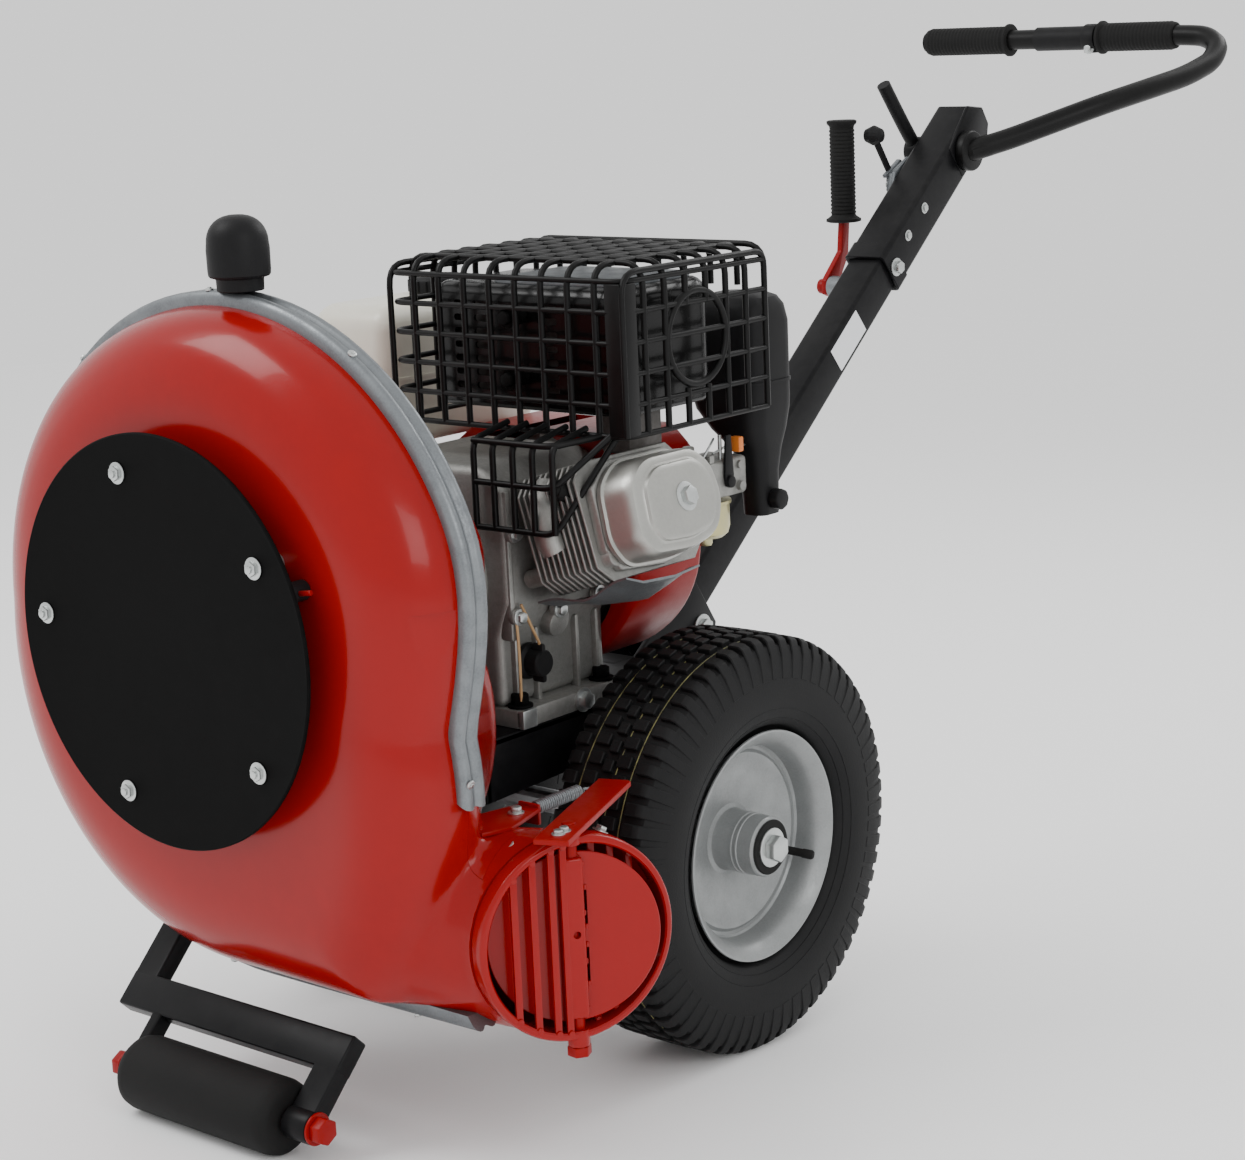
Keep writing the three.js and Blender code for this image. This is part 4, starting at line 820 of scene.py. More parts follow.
def flap_bracket_and_spring():
    outline = [(206, -372), (252, -390), (262, -362), (246, -306), (222, -306), (214, -340)]
    base = plate(outline, "z", BRACKET_TOP - 4, BRACKET_TOP, 0.8)
    lug = block(222, 246, -310, -306, BRACKET_TOP - 16, BRACKET_TOP + 3, 1.2)
    foot = block(216, 256, -376, -352, BRACKET_TOP - 22, BRACKET_TOP - 1, 1.0)
    piece(joined([base, lug, foot]), "flap_bracket_plate", "frame", RED_FLAT, ["flap_bracket"], 40, None)
    x, z = SPRING
    turns, low, high, radius = 22, -300, -240, 5.2
    points = [(x, -316, z - 1), (x, -308, z - 1)]
    for i in range(turns * 14 + 1):
        angle = 2 * math.pi * i / 14
        points.append((x + radius * math.cos(angle), low + (high - low) * i / (turns * 14),
                       z + radius * math.sin(angle)))
    points += [(x + 1, -236, z + 1), (x + 3, -228, z)]
    coil = tube(points, 1.25, 8)
    piece(coil, "flap_spring_coil", "frame", GALVANISED, ["flap_spring"], 60, None)
    parts = hex_bolt((238, -330, BRACKET_TOP - 0.1), (0, 0, 1), 9, 6)
    piece(joined(parts), "flap_bracket_bolt", "frame", ZINC, (), 40, None)


# ---- wheels ----------------------------------------------------------------------------------------------
TYRE_R = 208
TRACK = 210
LUGS = 66


def tyre_body():
    half = 60
    outer = [(103.4, -35), (112, -37), (116.5, -40), (118, -44), (121, -51), (128, -56), (138, -59.2),
             (150, -60.4), (162, -60.2), (176, -58.4), (190, -55.6), (198, -52), (201.5, -46),
             (202.5, -36), (203, -18), (203.2, 0)]
    mirrored = [(r, -s) for r, s in reversed(outer[:-1])]
    inner = [(103.4, 27), (145, half - 12), (186, 44), (192, 30), (192, -30), (186, -44),
             (145, 12 - half), (103.4, -27)]
    return spun(outer + mirrored + inner, "x", steps=132)


def tread_lugs():
    """One pitch of the tread: shoulder bars running down the sidewall, staggered blocks between them."""
    pitch = 2 * math.pi * TYRE_R / LUGS
    wide = pitch * 0.62
    parts = []
    for side in (-1, 1):
        outline = [(side * 33, 200), (side * 33, 207.2), (side * 46, 207), (side * 51.5, 203.6),
                   (side * 56.4, 192), (side * 58.8, 178), (side * 60.2, 166), (side * 57.6, 166),
                   (side * 55, 190), (side * 49, 198)]
        parts.append(plate(outline, "y", -wide / 2, wide / 2, 1.0, 1))
        rib = block(side * 17 - 8, side * 17 + 8, -wide / 2 + 3, wide / 2 + 3, 200, 207.6, 0.9, 1)
        parts.append(rib)
    parts.append(block(-5.5, 5.5, -wide / 2 - 3, wide / 2 - 3, 200, 207.8, 0.9, 1))
    return joined(parts)


def ringed(obj, count, axis="X"):
    """Copies of one pattern pitch round an axis through the origin."""
    made = [obj]
    for i in range(1, count):
        twin = obj.copy()
        twin.data = obj.data.copy()
        bpy.context.collection.objects.link(twin)
        twin.matrix_world = Matrix.Rotation(2 * math.pi * i / count, 4, axis)
        made.append(twin)
    return joined(made)


def wheel(name, side):
    place = MACHINE @ Matrix.Translation((side * TRACK * MM, 0, 0))
    if side < 0:
        place = place @ Matrix.Rotation(math.pi, 4, "Y")
    body = tyre_body()
    lugs = ringed(tread_lugs(), LUGS)
    bodies = joined([body, lugs])
    piece(bodies, f"{name}_tyre_treaded", name, TYRE, [f"tyre_{side_name(side)}"], 35, place)
    ribs = [(137, 58.8), (127, 55.4)]
    rings = joined([spun([(r, s - 0.5), (r + 1.2, s), (r, s + 0.5)], "x", steps=96) for r, s in ribs])
    piece(rings, f"{name}_sidewall_ribs", name, TYRE, (), 35, place)
    stripes = [spun([(203.1, s - 0.7), (203.5, s), (203.1, s + 0.7)], "x", steps=96) for s in (-29, 28, 9)]
    piece(joined(stripes), f"{name}_tread_marking", name, YELLOW, (), 35, place)
    rim = spun(rim_profile(), "x", steps=112)
    piece(rim, f"{name}_rim_dish", name, SILVER, [f"rim_{side_name(side)}"], 30, place)
    seal = spun([(13, 57.5), (27, 57.5), (27.4, 58.4), (26, 59.6), (15, 59.6), (13, 58.8)], "x", steps=48)
    piece(seal, f"{name}_hub_seal", name, RUBBER, (), 35, place)
    angle = math.radians(-22)
    at = Vector((16, 70 * math.cos(angle), 70 * math.sin(angle)))
    out = Vector((0.8, 0.25, -0.1)).normalized()
    stem = spun_open([(0, 0), (7, 0), (5.6, 5), (4.2, 8), (4.2, 28), (4.8, 29), (4.8, 38), (3.6, 40),
                      (0, 40)], "x", steps=24)
    lean = Vector((1, 0, 0)).rotation_difference(out).to_matrix().to_4x4()
    stem.matrix_world = Matrix.Translation(at) @ lean
    only(stem)
    bpy.ops.object.transform_apply(location=True, rotation=True, scale=True)
    piece(stem, f"{name}_valve", name, RUBBER, (), 35, place)
    nut = hex_bolt((58.3, 0, 0), (1, 0, 0), 24, 13)
    piece(joined(nut), f"{name}_axle_bolt", "frame", ZINC, [f"wheel_nut_{side_name(side)}"], 40, place)


def side_name(side):
    return "right" if side > 0 else "left"


def rim_profile():
    return [(12.8, -50), (28, -50), (30, -48), (30, -4), (33, 0), (50, 5), (70, 9.5), (84, 11), (90, 8),
            (94, 2), (96, -10), (97, -34), (103, -41), (110, -46), (114, -50), (114.6, -48), (112, -44),
            (105, -39), (102.4, -34), (102.4, 33), (104, 40), (109, 45.5), (113, 48.6), (115, 50.4),
            (114.6, 52), (112.6, 52), (109, 49.6), (103, 44), (99.4, 39), (97.6, 30), (96.6, 20),
            (94.6, 17.8), (91.4, 17.6), (88, 19.4), (84, 18.4), (81, 16.4), (66, 14.8), (50, 11.4),
            (36, 8), (31.6, 9.6), (30, 13), (30, 30), (31, 30.6), (31, 32.4), (30, 33), (30, 36),
            (31, 36.6), (31, 38.4), (30, 39), (30, 55), (28.6, 57), (27.4, 57.4), (12.8, 57.4)]


YELLOW = finish("faded_yellow_marking", (0.26, 0.25, 0.08), (0.05, 0.05, 0.03), 0.6, 0.0, (60.0, 1.0, 0.1))

fan_housing()
rim_trim()
intake_cover()
lifting_knob()
housing_bolts()
outlet_grille()
outlet_flap()
flap_arm()
flap_bracket_and_spring()
wheel("wheel_left", -1)
wheel("wheel_right", 1)


# ---- engine ----------------------------------------------------------------------------------------------
HEAD_S = 225
ROCKER_S = 270
CASE_FRONT = -188
CASE_BACK = -34


def in_cylinder():
    """The cylinder's own frame: its bore along x, tipped up about the crankshaft."""
    return MACHINE @ Matrix.Translation((0, 0, FAN_Z * MM)) @ Matrix.Rotation(-CYL_TILT, 4, "Y")


def crankcase():
    outline = [(-100, 158), (97, 160), (97, 226), (112, 262), (112, 372), (80, 392), (-60, 392),
               (-112, 340), (-112, 210)]
    case = plate(outline, "y", CASE_FRONT, CASE_BACK, 9, 4)
    foot = block(-118, 118, CASE_FRONT + 2, CASE_BACK, 141.3, 160, 2.5)
    stay = block(-190, -50, -120, -96, 372, 384, 2)
    parts = [case, foot, stay]
    for y in (-170, -140, -82, -52):
        parts.append(block(93, 103, y - 3, y + 3, 152, 232, 2.4))
        parts.append(block(98, 110, y - 8, y + 8, 141.3, 150, 2.4))
    for y, z in ((-178, 250), (-178, 330), (-120, 246), (-60, 250), (-44, 330)):
        parts.append(rod((108, y, z), (115, y, z), 9, 24, 2))
    parts.append(rod((96, -118, 236), (113, -118, 232), 15, 32, 4))
    parts.append(block(96, 112, -186, -176, 226, 372, 4))
    parts.append(spun([(13.6, -4), (24, -4), (24, 4), (13.6, 6)], "y", (0, CASE_FRONT - 2, FAN_Z), 32))
    body = joined(parts)
    piece(body, "crankcase_casting", "frame", CAST, ["crankcase"], 40, None)
    bolts = []
    for y, z in ((-178, 250), (-178, 330), (-120, 246), (-60, 250), (-44, 330)):
        bolts += hex_bolt((115, y, z), (1, 0, 0), 10, 6)
    piece(joined(bolts), "crankcase_bolts", "frame", ZINC, (), 40, None)
    feet = []
    for x, y in ((105, -172), (105, -52), (-105, -172), (-105, -52)):
        feet += hex_bolt((x, y, 160), (0, 0, 1), 15, 13)
    piece(joined(feet), "engine_foot_bolts", "frame", DISC_BLACK, (), 40, None)
    drain = hex_bolt((118, -96, 151), (1, 0, 0), 15, 9)
    piece(joined(drain), "oil_drain_bolt", "frame", ZINC, (), 40, None)
    ends = block(112, 121, -186, -166, 142, 160, 1.2)
    piece(ends, "mount_foot_end", "frame", ZINC, (), 40, None)
    cover = spun([(13.2, -238), (46, -238), (48.5, -236), (52, -222), (56, -218), (79, -209), (83, -206),
                  (86.4, -192), (86.4, CASE_FRONT - 0.4), (13.2, CASE_FRONT - 0.4)], "y", (0, 0, FAN_Z), 72)
    piece(cover, "crankcase_front_cover", "frame", CAST, ["crankcase_cover"], 35, None)


def dipstick():
    profile = [(0, 0), (17, 0), (18, 2), (17, 6), (13, 8), (13, 22), (11.5, 24), (0, 24)]
    stick = spun_open(profile, "x", (97.3, -152, 200), 40)
    lug = block(106, 121, -155, -149, 181, 219, 2.4)
    piece(joined([stick, lug]), "dipstick_cap", "dipstick_body", PLASTIC, ["dipstick"], 35, None)


def wires():
    runs = [[(116, -176, 262), (118, -168, 244), (117, -158, 226), (116, -150, 216), (114, -152, 206)],
            [(114, -182, 250), (117, -182, 220), (114, -180, 190), (110, -176, 166)]]
    for i, run in enumerate(runs):
        piece(tube(run, 1.5, 8, True, 6), f"sensor_wire_{i + 1}", "frame", TAN, (), 60, None)


def cylinder():
    core = block(104, HEAD_S, CYL_Y - 54, CYL_Y + 54, -42, 44, 6, 3)
    parts = [core]
    for i in range(13):
        at = 124 + i * (HEAD_S - 14 - 124) / 12
        grow = 12 if i < 2 else 0
        outline = [(CYL_Y - 78 + grow, -40), (CYL_Y - 60 + grow, -56 + grow), (CYL_Y + 60 - grow, -56 + grow),
                   (CYL_Y + 78 - grow, -40), (CYL_Y + 78 - grow, 42), (CYL_Y + 62 - grow, 58 - grow),
                   (CYL_Y - 62 + grow, 58 - grow), (CYL_Y - 78 + grow, 42)]
        parts.append(plate(outline, "x", at, at + 2.8, 0.8, 1))
    for y, z in ((CYL_Y - 62, -34), (CYL_Y - 62, 34), (CYL_Y + 60, -34), (CYL_Y + 60, 34)):
        parts.append(rod((112, y, z), (HEAD_S, y, z), 9, 20, 2))
    parts.append(rounded(plate([(CYL_Y - 72, -26), (CYL_Y - 56, -48), (CYL_Y + 4, -53), (CYL_Y + 52, -43),
                                (CYL_Y + 74, -8), (CYL_Y + 70, 32), (CYL_Y + 46, 54), (CYL_Y - 40, 54),
                                (CYL_Y - 68, 32)], "x", HEAD_S - 12, HEAD_S - 1), 2.5, 2))
    parts.append(block(150, 172, CYL_Y + 40, -22, 20, 44, 3))
    piece(carve(joined(parts), case_side()), "finned_cylinder", "frame", CAST, ["cylinder"], 40,
          in_cylinder())


def case_side():
    """The crankcase's side of the joint face, seen from the cylinder's own frame."""
    side = block(-FAR, 112.3, -FAR, FAR, -FAR, FAR)
    side.matrix_world = in_cylinder().inverted() @ MACHINE
    side.matrix_world.translation = side.matrix_world.translation / MM
    only(side)
    bpy.ops.object.transform_apply(location=True, rotation=True, scale=True)
    return side


ROCKER = [(-72, -22), (-56, -46), (4, -50), (50, -40), (70, -8), (66, 30), (42, 50), (-38, 50), (-66, 30)]


def smooth_outline(points, steps=5):
    """Corners turned into arcs, for pressed covers."""
    made = []
    count = len(points)
    for i, (u, v) in enumerate(points):
        here = Vector((u, v))
        before, after = Vector(points[i - 1]), Vector(points[(i + 1) % count])
        cut = min(16, (before - here).length * 0.42, (after - here).length * 0.42)
        start, end = here + (before - here).normalized() * cut, here + (after - here).normalized() * cut
        for k in range(steps + 1):
            t = k / steps
            point = start * (1 - t) ** 2 + here * 2 * t * (1 - t) + end * t ** 2
            made.append((point.x, point.y))
    return made


def scaled_outline(points, factor):
    return [(u * factor, v * factor) for u, v in points]


def rocker_cover():
    base = smooth_outline(ROCKER)
    levels = [(HEAD_S + 0.3, 1.0), (HEAD_S + 4, 1.03), (HEAD_S + 7, 1.03), (HEAD_S + 8, 0.985),
              (HEAD_S + 26, 0.955), (HEAD_S + 34, 0.93), (HEAD_S + 38, 0.89), (HEAD_S + 39.5, 0.83),
              (HEAD_S + 39.5, 0.76), (HEAD_S + 41, 0.72), (HEAD_S + 43.6, 0.70), (ROCKER_S - 0.4, 0.66),
              (ROCKER_S, 0.6)]
    rings = [[(x, CYL_Y + u, v) for u, v in scaled_outline(base, f)] for x, f in levels]
    cover = loft(rings)
    piece(cover, "rocker_cover_pressing", "frame", CAST_SMOOTH, ["rocker_cover"], 30, in_cylinder())
    bolt = hex_bolt((ROCKER_S - 0.2, CYL_Y + 4, 2), (1, 0, 0), 16, 8)
    bolt.append(rod((ROCKER_S - 0.4, CYL_Y + 4, 2), (ROCKER_S + 1.2, CYL_Y + 4, 2), 14, 32, 0.8))
    piece(joined(bolt), "rocker_cover_bolt", "frame", ZINC, (), 35, in_cylinder())


def air_baffle():
    """Crumpled sheet shield under the cylinder, and the elbow beside it."""
    rings = []
    for i in range(9):
        t = i / 8
        x = 118 + 108 * t
        drop = -66 - 6 * math.sin(3.1 * t) + 3 * math.sin(9 * t)
        rings.append([(x, CYL_Y - 66 + 8 * t, drop + 8), (x, CYL_Y - 40 + 4 * t, drop),
                      (x, CYL_Y + 10, drop - 5 + 3 * math.sin(7 * t)), (x, CYL_Y + 48, drop),
                      (x, CYL_Y + 48, drop + 2), (x, CYL_Y + 10, drop - 2.6 + 3 * math.sin(7 * t)),
                      (x, CYL_Y - 40 + 4 * t, drop + 2.4), (x, CYL_Y - 66 + 8 * t, drop + 10)])
    shield = loft(rings)
    piece(shield, "cylinder_lower_shield", "frame", GALVANISED, (), 40, in_cylinder())
    elbow = tube([(164, CYL_Y - 60, 44), (166, CYL_Y - 78, 30), (168, CYL_Y - 86, 8),
                  (168, CYL_Y - 78, -14)], 13, 24, True)
    piece(elbow, "exhaust_elbow", "frame", CAST, (), 40, in_cylinder())
    cap = rod((196, CYL_Y - 60, 30), (190, CYL_Y - 83, 42), 8, 28, 2.5)
    boot = rod((193.5, CYL_Y - 66, 33), (190.8, CYL_Y - 80, 40), 9.6, 28, 2)
    piece(joined([cap, boot]), "spark_plug_boot", "frame", RUBBER, ["spark_plug_cap"], 35, in_cylinder())


# ---- muffler and its guard -------------------------------------------------------------------------------
MUFFLER = (-40, 208, -122, 22, 436, 556)
CAGE = (-62, 230, -146, 69, 424, 580)


def rounded_box(x0, x1, y0, y1, z0, z1, corner, top, bottom=6.0):
    """A box with round upright corners, a rounder top edge and a small bottom edge."""
    rings = []
    steps = 7

    def section(inset, z):
        ring = []
        radius = max(corner - inset, 1.5)
        for cx, cy, start in ((x1 - corner, y1 - corner, 0), (x0 + corner, y1 - corner, 90),
                              (x0 + corner, y0 + corner, 180), (x1 - corner, y0 + corner, 270)):
            for k in range(steps + 1):
                angle = math.radians(start + 90 * k / steps)
                ring.append((cx + radius * math.cos(angle), cy + radius * math.sin(angle), z))
        return ring

    for k in range(4):
        angle = math.pi / 2 * k / 3
        rings.append(section(bottom * (1 - math.sin(angle)), z0 + bottom * (1 - math.cos(angle))))
    for k in range(6):
        angle = math.pi / 2 * k / 5
        rings.append(section(top * (1 - math.cos(angle)), z1 - top * (1 - math.sin(angle))))
    return loft(rings)


def slot_cutter(cx, y, cz, wide, high):
    return block(cx - wide / 2, cx + wide / 2, y - 8, y + 8, cz - high / 2, cz + high / 2, high * 0.45, 3)


def muffler():
    x0, x1, y0, y1, z0, z1 = MUFFLER
    can = rounded_box(x0 + 8, x1 - 8, y0 + 10, y1 - 4, z0 + 4, z1 - 4, 22, 14)
    outlet = block(150, 186, -90, -40, 396, z0 + 8, 4)
    can = joined([can, outlet])
    piece(can, "muffler_can", "frame", MUFFLER_METAL, ["muffler"], 35, None)
    shield = rounded_box(x0, x1, y0, y1, z0, z1, 26, 16)
    inside = rounded_box(x0 + 2.4, x1 - 2.4, y0 + 2.4, y1 - 2.4, z0 - 10, z1 - 2.4, 24, 14)
    carve(shield, inside)
    cutters = []
    for row in range(7):
        z = z0 + 22 + row * 13
        for x in (8, 34, 118):
            cutters.append(slot_cutter(x, y0, z, 18 if x < 100 else 24, 6.4))
    carve(shield, joined(cutters))
    piece(shield, "muffler_shield", "frame", SHIELD_BLACK, (), 40, None)
    springs = []
    for x, z in ((88, 528), (88, 470)):
        points = []
        for i in range(8 * 12 + 1):
            angle = 2 * math.pi * i / 12
            points.append((x + 7 * math.cos(angle), y0 - 3 - 16 * i / 96, z + 7 * math.sin(angle)))
        springs.append(tube(points, 1.3, 8))
        springs += [rod((x, y0 + 2, z), (x, y0 - 22, z), 3.2, 16)]
        springs += hex_bolt((x, y0 - 21, z), (0, -1, 0), 12, 8)
    piece(joined(springs), "guard_spring_bolts", "frame", DISC_BLACK, (), 40, None)
    top = rounded_box(x0 + 70, x1 - 14, y0 + 14, y1 - 10, z1 - 1.5, z1 + 4, 20, 3, 0.5)
    piece(top, "muffler_top_plate", "frame", GALVANISED, (), 35, None)


def bent(points, radius, corner=16, sides=12):
    """A wire through points whose corners are bent to a radius."""
    made = [Vector(points[0])]
    for before, here, after in zip(points, points[1:], points[2:]):
        here_, before_, after_ = Vector(here), Vector(before), Vector(after)
        cut = min(corner, (before_ - here_).length * 0.45, (after_ - here_).length * 0.45)
        start, end = here_ + (before_ - here_).normalized() * cut, here_ + (after_ - here_).normalized() * cut
        for k in range(6):
            t = k / 5
            made.append(start * (1 - t) ** 2 + here_ * 2 * t * (1 - t) + end * t ** 2)
    made.append(Vector(points[-1]))
    return tube(made, radius, sides)


def muffler_guard():
    x0, x1, y0, y1, z0, z1 = CAGE
    wire = 3.1
    parts = []
    columns, rows = 9, 5
    for i in range(columns + 1):
        x = x0 + (x1 - x0) * i / columns
        dip = 0 if 0 < i < columns else 6
        parts.append(bent([(x, y0, z0), (x, y0, z1 - dip), (x, y1, z1 - dip), (x, y1, z1 - 40)], wire, 22))
    for i in range(rows + 1):
        z = z0 + (z1 - 14 - z0) * i / rows
        parts.append(bent([(x0, y1 if i in (0, rows) else y0 + 60, z), (x0, y0, z), (x1, y0, z),
                           (x1, y1, z)], wire * 0.9, 18))
    ranks = 7
    for i in range(1, ranks + 1):
        y = y0 + (y1 - y0) * i / ranks
        parts.append(bent([(x0, y, z1 - 46 if i > 2 else z0), (x0, y, z1), (x1, y, z1),
                           (x1, y, z0 if i not in (3, 4) else z1 - 44)], wire, 22))
    for i in (3, 4):
        y = y0 + (y1 - y0) * i / ranks
        parts.append(rod((x1, y, z0), (x1, y, z0 + 34), wire, 12))
    ring_at = (x1, y0 + (y1 - y0) * 3.5 / ranks, (z0 + z1) / 2 + 2)
    eighths = [k * math.pi / 4 for k in range(8)]
    hoop = spun([(44 + 3.6 * math.cos(a), 3.6 * math.sin(a)) for a in eighths], "x", ring_at, 40)
    parts.append(hoop)
    low, out = z0 - 86, y0 - 50
    for x in (84, 108, 132.7, 157, 181.3):
        parts.append(bent([(x, y0, z0 + 6), (x, out, z0 - 4), (x, out, low)], wire, 12))
    for z in (low, z0 - 43):
        parts.append(bent([(84, out, z), (181.3, out, z), (214, y0 + 6, z0 + (0 if z == low else 6))],
                          wire, 14))
    parts.append(bent([(84, out, z0 - 4), (181.3, out, z0 - 4), (200, y0, z0)], wire, 14))
    band = plate([(x1 - 19, z0), (x1 - 1, z0), (x1 - 1, z1 - 16), (x1 - 19, z1 - 16)], "y", y0 - 2.4,
                 y0 + 1, 0.8)
    side = block(x1 - 1, x1 + 2.4, y0 - 1, y0 + 18, z0, z1 - 16, 0.8)
    parts += [band, side]
    guard = joined(parts)
    piece(guard, "muffler_wire_guard", "frame", GUARD_BLACK, ["muffler_guard"], 60, None)


# ---- air cleaner, carburettor, tank ----------------------------------------------------------------------
def soft_ring(x0, x1, y0, y1, z, corner):
    ring = []
    for cx, cy, start in ((x1 - corner, y1 - corner, 0), (x0 + corner, y1 - corner, 90),
                          (x0 + corner, y0 + corner, 180), (x1 - corner, y0 + corner, 270)):
        for k in range(7):
            angle = math.radians(start + 15 * k)
            ring.append((cx + corner * math.cos(angle), cy + corner * math.sin(angle), z))
    return ring


def air_cleaner():
    stations = [(172, 200, 96, 128, 306, 9), (171, 201, 95, 129, 309, 11), (169, 202, 93, 130, 350, 13),
                (160, 203, 90, 136, 372, 15), (140, 204, 82, 146, 392, 18), (122, 206, 80, 151, 412, 20),
                (118, 206, 80, 152, 424, 20), (118, 206, 80, 152, 498, 20), (121, 204, 82, 150, 514, 22),
                (128, 200, 88, 144, 523, 22), (140, 190, 98, 134, 527, 14)]
    cover = loft([soft_ring(*s) for s in stations])
    seam = loft([soft_ring(116.8, 207.2, 78.8, 153.2, z, 21) for z in (438, 441)])
    piece(joined([cover, seam]), "air_cleaner_cover", "frame", PLASTIC, ["air_cleaner"], 35, None)
    knob = spun_open([(0, 0), (9, 0), (11, 2), (11, 11), (9, 13), (0, 13)], "x", (201, 112, 322), 8)
    piece(rounded(knob, 1.2, 2), "air_cleaner_side_screw", "frame", PLASTIC, (), 35, None)


def carburettor():
    parts = [block(146, 196, 0, 78, 334, 372, 5, 3), block(150, 164, -19, 2, 338, 368, 2),
             block(160, 182, 74, 92, 340, 366, 3)]
    for y in (12, 64):
        parts.append(rod((190, y, 343), (201, y, 343), 5, 20, 1))
        parts.append(rod((190, y, 364), (199, y, 364), 4, 20, 1))
    parts.append(rod((160, 30, 370), (160, 30, 384), 6, 20, 1.5))
    parts.append(block(150, 196, 18, 26, 371, 379, 1.5))
    tools = joined(parts)
    piece(tools, "carburettor_body", "frame", CAST, ["carburettor"], 35, None)
    bowl = spun_open([(0, 0), (6, 0), (7, 2), (7, 8), (18, 9), (23, 13), (25, 20), (25, 42), (27, 43),
                      (27, 46), (0, 46)], "z", (168, 42, 284), 48)
    piece(bowl, "carburettor_bowl", "frame", BRASS, (), 35, None)
    links = [bent([(190, 30, 379), (191, 58, 385), (188, 84, 380)], 1.2, 4, 8),
             bent([(192, 4, 370), (193, 22, 388), (184, 40, 392)], 1.2, 4, 8)]
    links.append(rod((190, 42, 368), (190, 42, 396), 2, 12))
    piece(joined(links), "carburettor_linkage", "frame", ZINC, (), 60, None)
    lever = plate([(40, 346), (50, 346), (52, 356), (49, 396), (41, 396), (38, 356)], "x", 196.4, 199, 0.6)
    hub = rod((196.4, 45, 350), (202, 45, 350), 6, 24, 0.8)
    piece(joined([lever, hub]), "choke_lever_arm", "choke_lever_body", PLASTIC, ["choke_lever"], 35, None)
    flag = block(190, 201.5, 58, 66, 377, 392, 1.5)
    piece(flag, "fuel_valve_lever", "frame", ORANGE, (), 35, None)


def fuel_tank():
    tank = rounded_box(-212, -98, -118, 104, 384.4, 526, 22, 24, 12)
    lip = loft([soft_ring(-213.4, -96.6, -119.4, 105.4, z, 23) for z in (452, 455)])
    neck = spun([(20.5, -8), (30, -8), (30, 0.2), (20.5, 0.2)], "z", (-155, 20, 526), 48)
    piece(joined([tank, lip, neck]), "fuel_tank_shell", "frame", CREAM, ["fuel_tank"], 35, None)
    cap = spun_open([(0, -14), (19, -14), (19.5, 0.3), (30, 0.3), (31.4, 2), (31.4, 13), (29.6, 16),
                     (26, 18), (0, 18.6)], "z", (-155, 20, 526), 60)
    parts = [cap]
    for i in range(20):
        angle = 2 * math.pi * i / 20
        rib = rod((-155 + 31.4 * math.cos(angle), 20 + 31.4 * math.sin(angle), 528.5),
                  (-155 + 31.4 * math.cos(angle), 20 + 31.4 * math.sin(angle), 540), 1.6, 8, 0.4)
        parts.append(rib)
    piece(joined(parts), "fuel_cap_ribbed", "fuel_cap_body", PLASTIC, ["fuel_cap"], 35, None)


def fan_side():
    outline = []
    for i in range(33):
        angle = math.pi + math.pi * i / 32
        outline.append((142 * math.cos(angle), FAN_Z + 128 * math.sin(angle)))
    outline += [(134, 378), (110, 400), (-70, 400), (-94, 382), (-136, 370)]
    shroud = plate(outline, "y", CASE_BACK + 0.3, 72, 7, 3)
    carve(shroud, rod((0, CASE_BACK - 5, FAN_Z), (0, 66, FAN_Z), 118, 64))
    carve(shroud, rod((0, CASE_BACK, FAN_Z), (0, 80, FAN_Z), 70, 48))
    piece(shroud, "fan_shroud_pressing", "frame", RED_FLAT, ["fan_shroud"], 40, None)
    recoil = spun_open([(0, 102), (70, 102), (88, 101), (94, 98), (97, 92), (108, 82), (112, 78),
                        (112.4, 72.4), (0, 72.4)], "y", (0, 0, FAN_Z), 72)
    tools = []
    for i in range(14):
        angle = 2 * math.pi * i / 14
        slot_ = block(-3.4, 3.4, 96, 110, 46, 80, 2.8, 2)
        slot_.matrix_world = Matrix.Translation((0, 0, FAN_Z)) @ Matrix.Rotation(angle, 4, "Y")
        only(slot_)
        bpy.ops.object.transform_apply(location=True, rotation=True, scale=True)
        tools.append(slot_)
    carve(recoil, joined(tools))
    piece(recoil, "recoil_cover_louvred", "frame", RED_FLAT, ["recoil_cover"], 35, None)
    grip = block(-80, -36, 104.6, 118, FAN_Z + 61, FAN_Z + 77, 6, 4)
    foot = rod((-58, 102.4, FAN_Z + 69), (-58, 108, FAN_Z + 69), 6, 24, 1)
    piece(joined([grip, foot]), "recoil_handle", "recoil_grip_body", PLASTIC, ["recoil_grip"], 35, None)
    switch = spun_open([(0, 72.3), (12, 72.3), (12, 76), (11, 78), (0, 78)], "y", (-118, 0, 338), 40)
    paddle = block(-129, -107, 77, 87, 335, 341, 2)
    piece(joined([switch, paddle]), "engine_switch_knob", "engine_switch_body", RED_FLAT,
          ["engine_switch"], 35, None)


CAST_SMOOTH = finish("pressed_aluminium", (0.4, 0.4, 0.375), (0.32, 0.32, 0.3), 0.32, 0.8,
                     (30.0, 0.5, 0.1), (700.0, 0.4, 0.15), (0.15, 16.0, (0.24, 0.22, 0.18)))
SHIELD_BLACK = finish("glossy_black_shield", (0.003, 0.003, 0.003), (0.006, 0.006, 0.006), 0.2, 0.0,
                      (9.0, 0.5, 0.08), (300.0, 0.1, 0.06), (0.04, 12.0, (0.05, 0.05, 0.045)), coat=0.1,
                      specular=0.2)
MUFFLER_METAL = finish("heat_dulled_steel", (0.1, 0.095, 0.09), (0.06, 0.05, 0.045), 0.5, 0.6,
                       (16.0, 0.8, 0.2), (400.0, 0.4, 0.2))
ORANGE = finish("orange_lever_plastic", (0.6, 0.16, 0.02), (0.5, 0.13, 0.02), 0.4, 0.0, (20.0, 0.4, 0.05))

crankcase()
dipstick()
wires()
cylinder()
rocker_cover()
air_baffle()
muffler()
muffler_guard()
air_cleaner()
carburettor()
fuel_tank()
fan_side()


